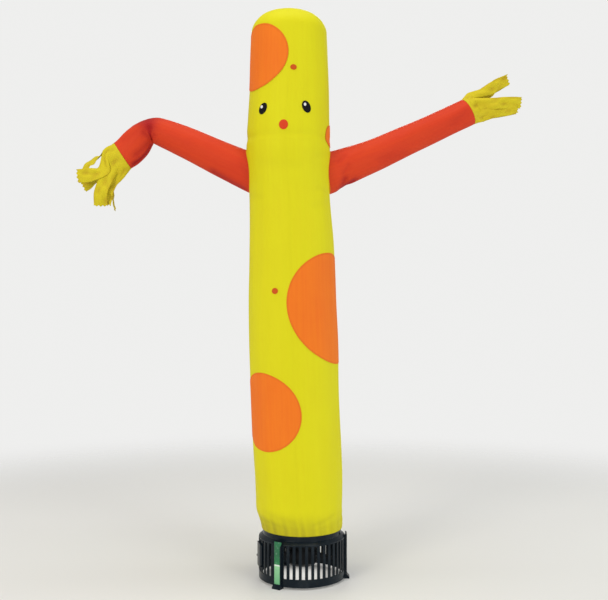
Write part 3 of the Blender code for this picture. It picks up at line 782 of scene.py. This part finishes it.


# Each nylon's colours: its own, a deeper tone for its streaks and clouds, and a darker one that is painted
# shade in creases and folds; on the orange nylon that last one is the dots' and stitched rims' own deeper
# orange
MATERIALS = {
    "yellow_nylon": nylon("yellow nylon", (0.70, 0.665, 0.012), (0.68, 0.605, 0.012), (0.42, 0.37, 0.020)),
    "red_nylon": nylon("orange red nylon", (0.68, 0.062, 0.018), (0.60, 0.040, 0.019), (0.34, 0.01, 0.016)),
    "hand_nylon": nylon("hand nylon", (0.64, 0.560, 0.020), (0.61, 0.440, 0.022), (0.44, 0.27, 0.020)),
    "orange_nylon": nylon("orange nylon", (0.86, 0.205, 0.018), (0.80, 0.148, 0.018), (0.56, 0.085, 0.014)),
    "black_nylon": nylon("black nylon", (0.006, 0.006, 0.008), (0.010, 0.010, 0.012), (0.004, 0.004, 0.005)),
    "white_nylon": nylon("white nylon", (0.78, 0.78, 0.76), (0.74, 0.74, 0.72), (0.60, 0.60, 0.58)),
}
SEAM_GOLD = nylon("gold seam", (0.70, 0.42, 0.015), (0.64, 0.34, 0.015), (0.50, 0.25, 0.012))
THREAD_YELLOW = nylon("yellow thread", (0.60, 0.51, 0.020), (0.56, 0.44, 0.020), (0.40, 0.33, 0.020))
THREAD_RUST = nylon("rust thread", (0.52, 0.110, 0.018), (0.46, 0.085, 0.018), (0.40, 0.07, 0.015))
THREAD_ORANGE = nylon("orange thread", (0.74, 0.160, 0.016), (0.70, 0.145, 0.016), (0.60, 0.11, 0.015))
BLACK_PLASTIC = plastic("black plastic", (0.004, 0.009, 0.015), (0.016, 0.023, 0.030), 0.24)


def cloth(nodes):
    """Hides the imported solids of a piece of cloth, which a built sheet shows instead."""
    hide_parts(*nodes)


# Sewing


def stitch_ends(points):
    """The two ends of each stitch round a ring of points, as two arrays."""
    points = np.vstack([points, points[:1]])
    steps = np.linalg.norm(np.diff(points, axis=0), axis=1)
    along = np.concatenate([[0], np.cumsum(steps)])
    count = max(3, int(along[-1] / STITCH_PITCH))
    at = (np.arange(count) + 0.5) * along[-1] / count
    ends = []
    for shift in (-STITCH_LENGTH / 2, STITCH_LENGTH / 2):
        ends.append(np.stack([np.interp(at + shift, along, points[:, k]) for k in range(3)], axis=1))
    return ends


def stitches(name, lines, surface):
    """Short threads laid end to end round each ring of points, as one mesh."""
    vertices, faces = [], []
    thread_faces = [(3, 2, 1, 0), (12, 13, 14, 15), *grid_faces(len(STITCH_PROFILE), 4)]
    for points in lines:
        for a, b in zip(*stitch_ends(points)):
            along = (b - a) / np.linalg.norm(b - a)
            side = np.cross(along, UP if abs(along[2]) < 0.8 else BACK)
            side /= np.linalg.norm(side)
            other = np.cross(along, side)
            first = len(vertices)
            for share, swell in STITCH_PROFILE:
                centre = a + (b - a) * share
                for cos, sin in ((1, 0), (0, 1), (-1, 0), (0, -1)):
                    vertices.append(centre + (side * cos + other * sin) * STITCH_RADIUS * swell)
            faces += [tuple(first + i for i in face) for face in thread_faces]
    return add_object(name, vertices, faces, surface)


def piping(name, points, radius, surface):
    """A thin closed roll of cloth along a ring of points."""
    along = np.roll(points, -1, axis=0) - np.roll(points, 1, axis=0)
    along /= np.linalg.norm(along, axis=1, keepdims=True)
    out = points - points.mean(axis=0)
    side = np.cross(along, out)
    side /= np.linalg.norm(side, axis=1, keepdims=True)
    other = np.cross(side, along)
    rings = []
    for k in range(PIPING_SIDES):
        angle = math.tau * k / PIPING_SIDES
        rings.append(points + (side * math.cos(angle) + other * math.sin(angle)) * radius)
    rings = np.vstack(rings)
    faces = grid_faces(PIPING_SIDES + 1, len(points))
    faces = [tuple(i % len(rings) for i in face) for face in faces]
    return add_object(name, rings, faces, surface)


# Sleeves


class Sleeve:
    """A sleeve's path and sections, read at any place along it."""

    def __init__(self, arm, creases):
        self.arm = arm
        self.creases = creases
        self.places = np.cumsum([row.run for row in arm.rows])
        self.length = float(self.places[-1])
        self.half_widths = [row.half_width for row in arm.rows]
        self.half_depths = [row.half_depth for row in arm.rows]
        headings = arm.heading + np.cumsum([row.turn for row in arm.rows])
        self.fine = np.linspace(0, self.length, 1200)
        self.heading = np.radians(np.interp(self.fine, self.places, headings))
        step = self.fine[1]
        middle = (self.heading[1:] + self.heading[:-1]) / 2
        self.x = arm.start_x + np.concatenate([[0], np.cumsum(np.cos(middle) * step)])
        self.z = arm.start_z + np.concatenate([[0], np.cumsum(np.sin(middle) * step)])

    def axes(self, t):
        """Centre, and the directions along, across its width and across its depth."""
        heading = np.interp(t, self.fine, self.heading)
        x = np.interp(t, self.fine, self.x)
        y = self.arm.start_y + self.arm.lean_back * np.abs(x - self.arm.start_x)
        centre = np.stack([x, y, np.interp(t, self.fine, self.z)], axis=-1)
        lean = self.arm.lean_back * np.abs(np.cos(heading))
        along = np.stack([np.cos(heading), lean, np.sin(heading)], axis=-1)
        along /= np.linalg.norm(along, axis=-1, keepdims=True)
        depth = BACK - along * (along @ BACK)[..., None]
        depth /= np.linalg.norm(depth, axis=-1, keepdims=True)
        return centre, along, np.cross(along, depth), depth

    def creased_share(self, t):
        """1 along the sleeve and 0 at its wrist, where the seam keeps it smooth."""
        return 1 - ramp(t, self.length - WRIST_CREASED, self.length - WRIST_SMOOTH)

    def creasing(self, t, angle):
        """How far the creases alone move the cloth out, and how strongly shade is painted along them."""
        degrees = np.degrees(angle)
        size = smooth(t, self.places, self.half_widths)
        total, shade = np.zeros_like(size), np.zeros_like(size)
        for row in self.creases:
            distance = crease_distance(row, degrees, t, size)
            total = total + trough(distance, row.width, row.depth)
            shade = np.maximum(shade, row.shade * np.exp(-((distance / (SHADE_SPREAD * row.width)) ** 2)))
        return total * self.creased_share(t), shade

    def relief(self, t, angle):
        """How far the cloth stands out from the plain sleeve."""
        swell = 0.0009 * np.sin(3 * angle + 7 * t) + 0.0006 * np.sin(5 * angle - 19 * t + 1)
        creased, _ = self.creasing(t, angle)
        return swell * self.creased_share(t) + creased

    def points(self, t, angle, lift=0.0):
        """Points on the sleeve's outer face, lifted off it."""
        centre, _, width, depth = self.axes(t)
        out = self.relief(t, angle) + lift
        half_width = smooth(t, self.places, self.half_widths) + out
        half_depth = smooth(t, self.places, self.half_depths) + out
        across = width * (np.cos(angle) * half_width)[..., None]
        return centre + across + depth * (np.sin(angle) * half_depth)[..., None]

    def wrist_ring(self, angles, row):
        """Points round the sleeve where the row is sewn near its end."""
        return self.points(np.full_like(angles, self.length - row.inset), angles, row.lift)

    def starts(self, angles):
        """For each place round the sleeve, where along it it comes out of the tube."""
        found = []
        for angle in angles:
            t = self.fine[self.fine < ARM_START_WITHIN]
            at = self.points(t, np.full_like(t, angle))
            _, centre, radius = body_section(at[:, 2])
            outside = np.hypot(at[:, 0] - centre, at[:, 1]) - radius + ARM_START_SINK
            last = np.nonzero(outside < 0)[0][-1]
            share = -outside[last] / (outside[last + 1] - outside[last])
            found.append(t[last] + share * (t[last + 1] - t[last]))
        return np.array(found)


def sleeve_piece(side, sleeve):
    """A sleeve, and the list of what is sewn to it: two seams and its rows of stitches."""
    angles = math.tau * np.arange(ARM_COLUMNS) / ARM_COLUMNS
    starts = sleeve.starts(angles)
    rows = round((sleeve.length - starts.mean()) / ARM_SPACING)
    share = np.linspace(0, 1, rows + 1)[:, None]
    t = starts + (sleeve.length - starts) * share
    angle = np.broadcast_to(angles, t.shape)
    points = sleeve.points(t, angle)
    faces = grid_faces(rows + 1, ARM_COLUMNS)
    obj = add_object(f"sleeve_{side}", points.reshape(-1, 3), faces, MATERIALS["red_nylon"])
    size = float(np.mean(sleeve.half_widths))
    set_uv(obj, np.stack([angle * size, t], axis=-1).reshape(-1, 2))
    _, shade = sleeve.creasing(t, angle)
    set_painted_shade_and_patch_tone(obj, shade)
    thicken(obj, CLOTH, -1)
    root = sleeve.points(starts + ROOT_SEAM.inset, angles, ROOT_SEAM.lift)
    wrist = sleeve.wrist_ring(angles, WRIST_SEAM)
    lines = [sleeve.points(starts + ROOT_STITCHES.inset, angles, ROOT_STITCHES.lift)]
    lines += [sleeve.wrist_ring(angles, row) for row in WRIST_STITCHES]
    sewn = [
        piping(f"arm_seam_{side}", root, PIPING_RADIUS, SEAM_GOLD),
        piping(f"wrist_seam_{side}", wrist, PIPING_RADIUS * WRIST_PIPING, SEAM_GOLD),
        stitches(f"arm_stitches_{side}", lines, THREAD_RUST),
    ]
    return obj, sewn


# Hands


def curve_points(points, t):
    """Points on the smooth curve through the points, with t from 0 to 1 along them."""
    points = np.asarray(points, float)
    place = t * (len(points) - 1)
    i = np.minimum(place.astype(int), len(points) - 2)
    u = (place - i)[:, None]
    a, b = points[i], points[i + 1]
    before = np.where((i > 0)[:, None], points[np.maximum(i - 1, 0)], a * 2 - b)
    after = np.where((i + 2 < len(points))[:, None], points[np.minimum(i + 2, len(points) - 1)], b * 2 - a)
    rise = 3 * u**2 - 2 * u**3
    pull = (b - before) / 2 * (u**3 - 2 * u**2 + u) + (after - a) / 2 * (u**3 - u**2)
    return a * (1 - rise) + b * rise + pull


def strip_sides(root, rows, half):
    """Centres and half-width vectors at the root and at each row of a strip."""
    sides = [(root[-1] - root[0]) / 2]
    centres = [root.mean(axis=0)] + [np.array((r.x, r.y, r.z)) for r in rows]
    for i, row in enumerate(rows):
        along = centres[min(i + 2, len(rows))] - centres[i]
        along = along / np.linalg.norm(along)
        flat = np.cross(BACK, along)
        flat /= np.linalg.norm(flat)
        twist = math.radians(row.twist)
        side = (flat * math.cos(twist) + np.cross(along, flat) * math.sin(twist)) * half
        sides.append(side if side @ sides[-1] > 0 else -side)
    return centres, sides


def crumple(seed, u, v):
    """The crumpled cloth's lift at a place along (u) and across (v) a strip, in metres."""
    return (
        0.0030 * np.sin(9 * u + 2.6 * v + 1.7 * seed)
        + 0.0022 * np.sin(17 * u - 3.4 * v + 2.9 * seed)
        + 0.0016 * np.sin(6 * v + 5 * u + 0.8 * seed)
        - 0.0060 * (v * v - 0.35) * np.cos(3 * u + seed)
    )


def cuff_grid(sleeve, shape, angles):
    """The cuff's points, their places on the cloth and how strongly shade is painted into its folds at each.
    """
    centre, along, width, depth = (v[0] for v in sleeve.axes(np.array([sleeve.length])))
    wrist = sleeve.arm.rows[-1]
    points, uv, fold = [], [], []
    for share in np.linspace(SEAM_GAP / shape.cuff, 1.0, CUFF_ROWS):
        half_width = wrist.half_width + (shape.end_width - wrist.half_width) * share
        half_depth = wrist.half_depth + (shape.end_depth - wrist.half_depth) * share
        folds = 0.0042 * ramp(share, 0.1, 0.6) * np.sin(7 * angles + 2.5 * share + 1.1)
        folds = folds + 0.0026 * ramp(share, 0.2, 0.8) * np.sin(12 * angles - 3 * share)
        middle = centre + (along * shape.cuff + width * shape.sag) * share
        across = np.cos(angles)[:, None] * width * (half_width + folds)[:, None]
        points.append(middle + across + np.sin(angles)[:, None] * depth * (half_depth + folds)[:, None])
        uv.append(np.stack([angles * half_width, np.full(len(angles), share * shape.cuff)], axis=-1))
        fold.append(CUFF_SHADE * np.clip(-folds / CUFF_DEEP_FOLD, 0, 1))
    return np.vstack(points), np.vstack(uv), np.concatenate(fold)


def strip_grid(shape, k, root):
    """Strip k's points past its root, their places on the cloth and how strongly shade is painted into its
    folds at each.
    """
    centres, sides = strip_sides(root, shape.strips[k], shape.strip_half)
    t = np.linspace(0, 1, STRIP_ROWS + 1)[1:]
    v = np.linspace(-1, 1, len(root))
    line, side_at = curve_points(centres, t), curve_points(sides, t)
    way = np.gradient(line, axis=0)
    way /= np.linalg.norm(way, axis=1, keepdims=True)
    normal = np.cross(way, side_at)
    normal /= np.linalg.norm(normal, axis=1, keepdims=True)
    flat = line[:, None] + side_at[:, None] * v[None, :, None]
    bow = (root - centres[0] - sides[0] * v[:, None])[None] * (1 - ramp(t, 0, 0.45))[:, None, None]
    lift = crumple(k + shape.seed, t[:, None], v[None]) * ramp(t, 0.0, 0.25)[:, None]
    ragged = 0.004 * np.sin(11 * v + 2 * k) * ramp(t, 0.8, 1.0)[:, None]
    points = flat + bow + normal[:, None] * lift[..., None] + way[:, None] * ragged[..., None]
    across, along = np.broadcast_arrays(v[None] * shape.strip_half, shape.cuff + t[:, None] * STRIP_LENGTH)
    uv = np.stack([across, along], axis=-1).reshape(-1, 2) + (k * 0.2, 0)
    return points.reshape(-1, 3), uv, (STRIP_SHADE * np.clip(-lift / STRIP_DEEP_FOLD, 0, 1)).ravel()


def hand_piece(side, sleeve, shape):
    """A cuff on the sleeve's end and its strips, as one sheet."""
    ring = RING_POINTS * STRIP_FINE
    angles = math.tau * (np.arange(ring) / STRIP_FINE + 0.5) / RING_POINTS
    cuff = cuff_grid(sleeve, shape, angles)
    faces = grid_faces(CUFF_ROWS, ring)
    grids = [cuff]
    count = CUFF_ROWS * ring
    first = (CUFF_ROWS - 1) * ring
    across = ring // len(shape.strips)
    for k in range(len(shape.strips)):
        edge = [first + (k * across + j) % ring for j in range(across + 1)]
        grids.append(strip_grid(shape, k, cuff[0][edge]))
        for _ in range(STRIP_ROWS):
            made = list(range(count, count + across + 1))
            faces += [(edge[j], edge[j + 1], made[j + 1], made[j]) for j in range(across)]
            count += across + 1
            edge = made
    points, uv, fold = (np.concatenate(parts) for parts in zip(*grids))
    obj = add_object(f"streamers_{side}", points, faces, MATERIALS["hand_nylon"])
    set_uv(obj, uv)
    set_painted_shade_and_patch_tone(obj, fold)
    thicken(obj, CLOTH, -1)
    return obj


# The tube and its patches


def tube_piece(sleeves):
    """The tube, closed over its dome, with a hole inside each sleeve's root."""
    rows = body_rows()
    degrees = np.arange(BODY_COLUMNS) * 360 / BODY_COLUMNS
    s, round_it = np.meshgrid(rows[:-1], degrees, indexing="ij")
    points = body_points(round_it, s).reshape(-1, 3)
    faces = []
    for face in grid_faces(len(rows) - 1, BODY_COLUMNS):
        middle = points[list(face)].mean(axis=0)
        if not any(inside_sleeve(sleeve, middle) for sleeve in sleeves):
            faces.append(face)
    top = BODY_SECTIONS[-1]
    apex = np.array([[top.centre_x, 0, top.z + DOME_HEIGHT]])
    last = (len(rows) - 2) * BODY_COLUMNS
    faces += [(last + c, last + (c + 1) % BODY_COLUMNS, len(points)) for c in range(BODY_COLUMNS)]
    obj = add_object("tube", np.vstack([points, apex]), faces, MATERIALS["yellow_nylon"])
    across = np.radians(round_it) * UNROLLED_RADIUS
    set_uv(obj, np.vstack([np.stack([across, s], axis=-1).reshape(-1, 2), [[0, top.z + DOME_ARC]]]))
    set_painted_shade_and_patch_tone(obj, np.append(body_painted_shade(round_it, s), 0))
    thicken(obj, CLOTH, -1)
    return obj


def inside_sleeve(sleeve, point):
    """Whether a point of the tube lies well inside the sleeve's root."""
    away = 1 if sleeve.arm.start_x > 0 else -1
    if (point[0] - sleeve.arm.start_x) * away < 0 or not SHOULDER_LOW < point[2] < SHOULDER_HIGH:
        return False
    centre, _, width, depth = (v[0] for v in sleeve.axes(np.array([ARMHOLE_ALONG])))
    offset = point - centre
    row = sleeve.arm.rows[1]
    wide = (offset @ width) / (row.half_width - ARMHOLE_MARGIN)
    deep = (offset @ depth) / (row.half_depth - ARMHOLE_MARGIN)
    return wide * wide + deep * deep < 1


def patch_places(row, share, turn):
    """Degrees round the tube and place up it, share of the way from the patch's middle to its rim."""
    _, _, radius = body_section(np.array(row.z))
    across = row.half_width * share * np.cos(turn)
    up = row.half_height * share * np.sin(turn) + row.slope * across
    return row.degrees + np.degrees(across / radius), row.z + up


def patch_piece(row):
    """An oval patch on the tube, with its row of stitches if it is a big one."""
    small = min(row.half_width, row.half_height)
    stitched = small > STITCHED_FROM
    sides = PATCH_SIDES if stitched else SMALL_PATCH_SIDES
    share = 1 - (1 - np.linspace(0, 1, PATCH_RINGS + 1)[1:]) ** RING_CROWDING
    turn = math.tau * np.arange(sides) / sides
    rings, turns = np.meshgrid(share, turn, indexing="ij")
    degrees, s = patch_places(row, rings, turns)
    groove = -GROOVE_DEPTH * np.exp(-((((1 - rings) * small - STITCH_INSET) / GROOVE_WIDTH) ** 2))
    roll = ROLL_HEIGHT * ramp(rings, 1 - ROLL_FROM / small, 1 - ROLL_FULL / small)
    lift = PATCH_LIFT + row.lift
    points = body_points(degrees, s, lift + (groove + roll) * stitched)
    middle = body_points(np.array([row.degrees]), np.array([row.z]), lift)
    faces = grid_faces(len(share), sides)
    count = len(share) * sides
    faces += [(count, k, (k + 1) % sides) for k in range(sides)]
    faces = [face[::-1] for face in faces]
    obj = add_object(
        f"{row.name}_cloth", np.vstack([points.reshape(-1, 3), middle]), faces, MATERIALS[row.slot]
    )
    place = np.stack([np.radians(degrees) * UNROLLED_RADIUS, s], axis=-1).reshape(-1, 2)
    set_uv(obj, np.vstack([place, [[math.radians(row.degrees) * UNROLLED_RADIUS, row.z]]]))
    plain = DOT_SHADE if row.name.startswith("dot_") else 0.0
    rim = RIM_SHADE * ramp(rings, 1 - RIM_FROM / small, 1 - RIM_FULL / small) * stitched
    set_painted_shade_and_patch_tone(obj, np.append(rim + plain, plain))
    thicken(obj, PATCH, 1)
    sewn = []
    if stitched:
        line_degrees, line_s = patch_places(row, 1 - STITCH_INSET / small, turn)
        line = body_points(line_degrees, line_s, lift + PATCH - STITCH_SINK)
        sewn = [stitches(f"{row.name}_stitches", [line], THREAD_ORANGE)]
    cloth([row.name])


def hem_lines():
    """Two rows of sewing round the hem's band."""
    degrees = np.arange(0, 360, 1.5)
    return [body_points(degrees, np.full_like(degrees, z), HEM_STITCH_LIFT) for z in HEM_STITCHES_Z]


# The blower


def housing_piece():
    """The wall's outer and inner faces with its slots, its edges rounded. Round it, a slot and the rib
    beside it are two cells."""
    pitch = 360 / SLOTS
    cells = []
    for k in range(SLOTS):
        cells.append((k * pitch, SLOT_DEGREES, True))
        cells.append((k * pitch + SLOT_DEGREES, pitch - SLOT_DEGREES, False))
    shares = np.arange(CELL_COLUMNS) / CELL_COLUMNS
    angles = np.array([start + span * share for start, span, _ in cells for share in shares])
    open_cell = [is_slot for _, _, is_slot in cells for _ in shares]
    columns, rings = len(angles), len(HOUSING_RINGS)
    points = []
    for inset in (0, WALL):
        for ring in HOUSING_RINGS:
            points.append(front_direction(angles) * (ring.radius - inset) + UP * ring.z)
    inner = rings * columns
    faces = []
    for b in range(rings - 1):
        for c in range(columns):
            n = (c + 1) % columns
            a, d = b * columns + c, b * columns + n
            f, e = a + columns, d + columns
            if b == SLOTTED_BAND and open_cell[c]:
                faces.append((d, a, a + inner, d + inner))
                faces.append((f, e, e + inner, f + inner))
                if not open_cell[c - 1]:
                    faces.append((a, f, f + inner, a + inner))
                if not open_cell[n]:
                    faces.append((e, d, d + inner, e + inner))
            else:
                faces.append((a, d, e, f))
                faces.append((a + inner, f + inner, e + inner, d + inner))
    for c in range(columns):
        n = (c + 1) % columns
        top = (rings - 1) * columns
        faces.append((c, c + inner, n + inner, n))
        faces.append((top + c, top + n, top + n + inner, top + c + inner))
    obj = add_object("blower_housing", np.vstack(points), faces, BLACK_PLASTIC, SHARP_DEGREES)
    bevel = obj.modifiers.new("rounded edges", "BEVEL")
    bevel.width = EDGE_ROUNDING
    bevel.segments = 2
    bevel.limit_method = "ANGLE"
    bevel.angle_limit = math.radians(SHARP_DEGREES)
    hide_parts("housing")


def strip_material():
    """Plain film: deep green above, pale green below, with a thin light line between them."""
    made, tree, shader = new_material("green strip", Roughness=0.28)
    coords = node(tree, "ShaderNodeTexCoord").outputs["Object"]
    height = node(tree, "ShaderNodeSeparateXYZ", Vector=coords).outputs["Z"]
    zones = node(tree, "ShaderNodeValToRGB", Fac=height)
    stops = zones.color_ramp.elements
    stops[0].color = (*FILM_LOW, 1)
    stops[1].color = (*FILM_TOP, 1)
    for row in FILM_STOPS:
        stops.new(row.z).color = (*row.colour, 1)
    scuffs = noise(tree, coords, 90.0, 4.0, 0.55, 0.85)
    film = mixed(tree, scuffs, zones.outputs["Color"], FILM_SCUFFED)
    grain = bump(tree, noise(tree, coords, 160.0, 2.0), 0.0003, 0.15)
    fill(tree, shader, Base_Color=film, Normal=grain)
    return made


def label_piece():
    """The strip of film on the front leg, a little wider at its top."""
    out = front_direction(np.array(LABEL_DEGREES))
    side = np.cross(UP, out)
    points = []
    for z in np.linspace(LABEL_BOTTOM, LABEL_TOP, LABEL_ROWS):
        wide = LABEL_HALF + LABEL_FLARE * float(ramp(z, LABEL_FLARE_FROM, LABEL_FLARE_FULL))
        for v in np.linspace(-1, 1, LABEL_COLUMNS):
            points.append(out * LABEL_FACE + side * v * (wide if v > 0 else LABEL_HALF) + UP * z)
    faces = grid_faces(LABEL_ROWS, LABEL_COLUMNS, closed=False)
    obj = add_object("green_strip_film", points, faces, strip_material())
    thicken(obj, LABEL_THICK, 1)
    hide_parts("label")


def finish_cad_nodes():
    """Materials for the solids that show as they are."""
    dark_metal = plastic("dark painted metal", (0.010, 0.012, 0.015), (0.030, 0.030, 0.032), 0.42)
    looks = {"motor": dark_metal, "motor_bracket": dark_metal}
    for name, obj in frame["nodes"].items():
        if not obj.hide_render:
            obj.data.materials.clear()
            obj.data.materials.append(looks.get(name, BLACK_PLASTIC))


# Stage


def area_light(lamp):
    """A rectangular lamp turned towards its target."""
    data = bpy.data.lights.new(lamp.name, "AREA")
    data.shape = "RECTANGLE"
    data.size, data.size_y = lamp.size
    data.energy = lamp.watts
    data.color = lamp.colour
    obj = bpy.data.objects.new(lamp.name, data)
    obj.location = lamp.place
    obj.rotation_euler = (Vector(lamp.target) - Vector(lamp.place)).to_track_quat("-Z", "Y").to_euler()
    bpy.context.scene.collection.objects.link(obj)


def floor_piece():
    """A pale floor that fades out into the background all round."""
    paper, tree, shader = new_material("pale floor", Roughness=0.9, Base_Color=(0.80, 0.80, 0.79))
    coords = node(tree, "ShaderNodeTexCoord").outputs["Object"]
    reach = node(tree, "ShaderNodeVectorMath", operation="LENGTH", Vector=coords).outputs["Value"]
    fade = node(tree, "ShaderNodeMapRange", interpolation_type="SMOOTHERSTEP", Value=reach)
    fill(tree, fade, From_Min=FLOOR_FULL, From_Max=FLOOR_GONE)
    clear = node(tree, "ShaderNodeBsdfTransparent").outputs["BSDF"]
    blended(tree, "Material Output", fade.outputs["Result"], shader.outputs["BSDF"], clear)
    half = FLOOR_GONE + 1
    corners = [(-half, -half, 0), (half, -half, 0), (half, half, 0), (-half, half, 0)]
    mesh = bpy.data.meshes.new("floor")
    mesh.from_pydata(corners, [], [(0, 1, 2, 3)])
    floor = bpy.data.objects.new("floor", mesh)
    floor.data.materials.append(paper)
    bpy.context.scene.collection.objects.link(floor)


def studio_world():
    """Even light from all round, and a paler background where it is seen straight."""
    world = bpy.data.worlds.new("studio")
    world.use_nodes = True
    tree = world.node_tree
    lit = fill(tree, tree.nodes["Background"], Color=(1.0, 0.995, 0.98), Strength=WORLD_LIGHT)
    seen = node(tree, "ShaderNodeBackground", Color=(1.0, 1.0, 0.99), Strength=WORLD_SEEN)
    ray = node(tree, "ShaderNodeLightPath").outputs["Is Camera Ray"]
    blended(tree, "World Output", ray, lit.outputs["Background"], seen.outputs["Background"])
    bpy.context.scene.world = world


def stage():
    """The floor, the background, the lights and the camera."""
    floor_piece()
    studio_world()
    for lamp in LAMPS:
        area_light(lamp)
    bpy.context.scene.view_settings.view_transform = "Standard"
    camera = bpy.data.cameras.new("camera")
    camera.sensor_width = SENSOR_WIDTH
    camera.lens = SENSOR_WIDTH * FOCAL_PIXELS / PICTURE_WIDTH
    view = bpy.data.objects.new("camera", camera)
    view.location = CAMERA_PLACE
    view.rotation_euler = (math.pi / 2, 0, 0)
    bpy.context.scene.collection.objects.link(view)
    bpy.context.scene.camera = view


def build():
    """Everything, from the cloth down to the stage."""
    sleeves = {"left": Sleeve(ARM_LEFT, ARM_LEFT_CREASES), "right": Sleeve(ARM_RIGHT, ARM_RIGHT_CREASES)}
    tube = tube_piece(sleeves.values())
    hem = stitches("hem_stitches", hem_lines(), THREAD_YELLOW)
    cloth(["body_tube"])
    for side, shape in (("left", HAND_LEFT), ("right", HAND_RIGHT)):
        obj, sewn = sleeve_piece(side, sleeves[side])
        cloth([f"arm_{side}"])
        streamers = hand_piece(side, sleeves[side], shape)
        cloth([f"hand_{side}"])
    for row in PATCHES:
        patch_piece(row)
    housing_piece()
    label_piece()
    finish_cad_nodes()
    stage()


build()
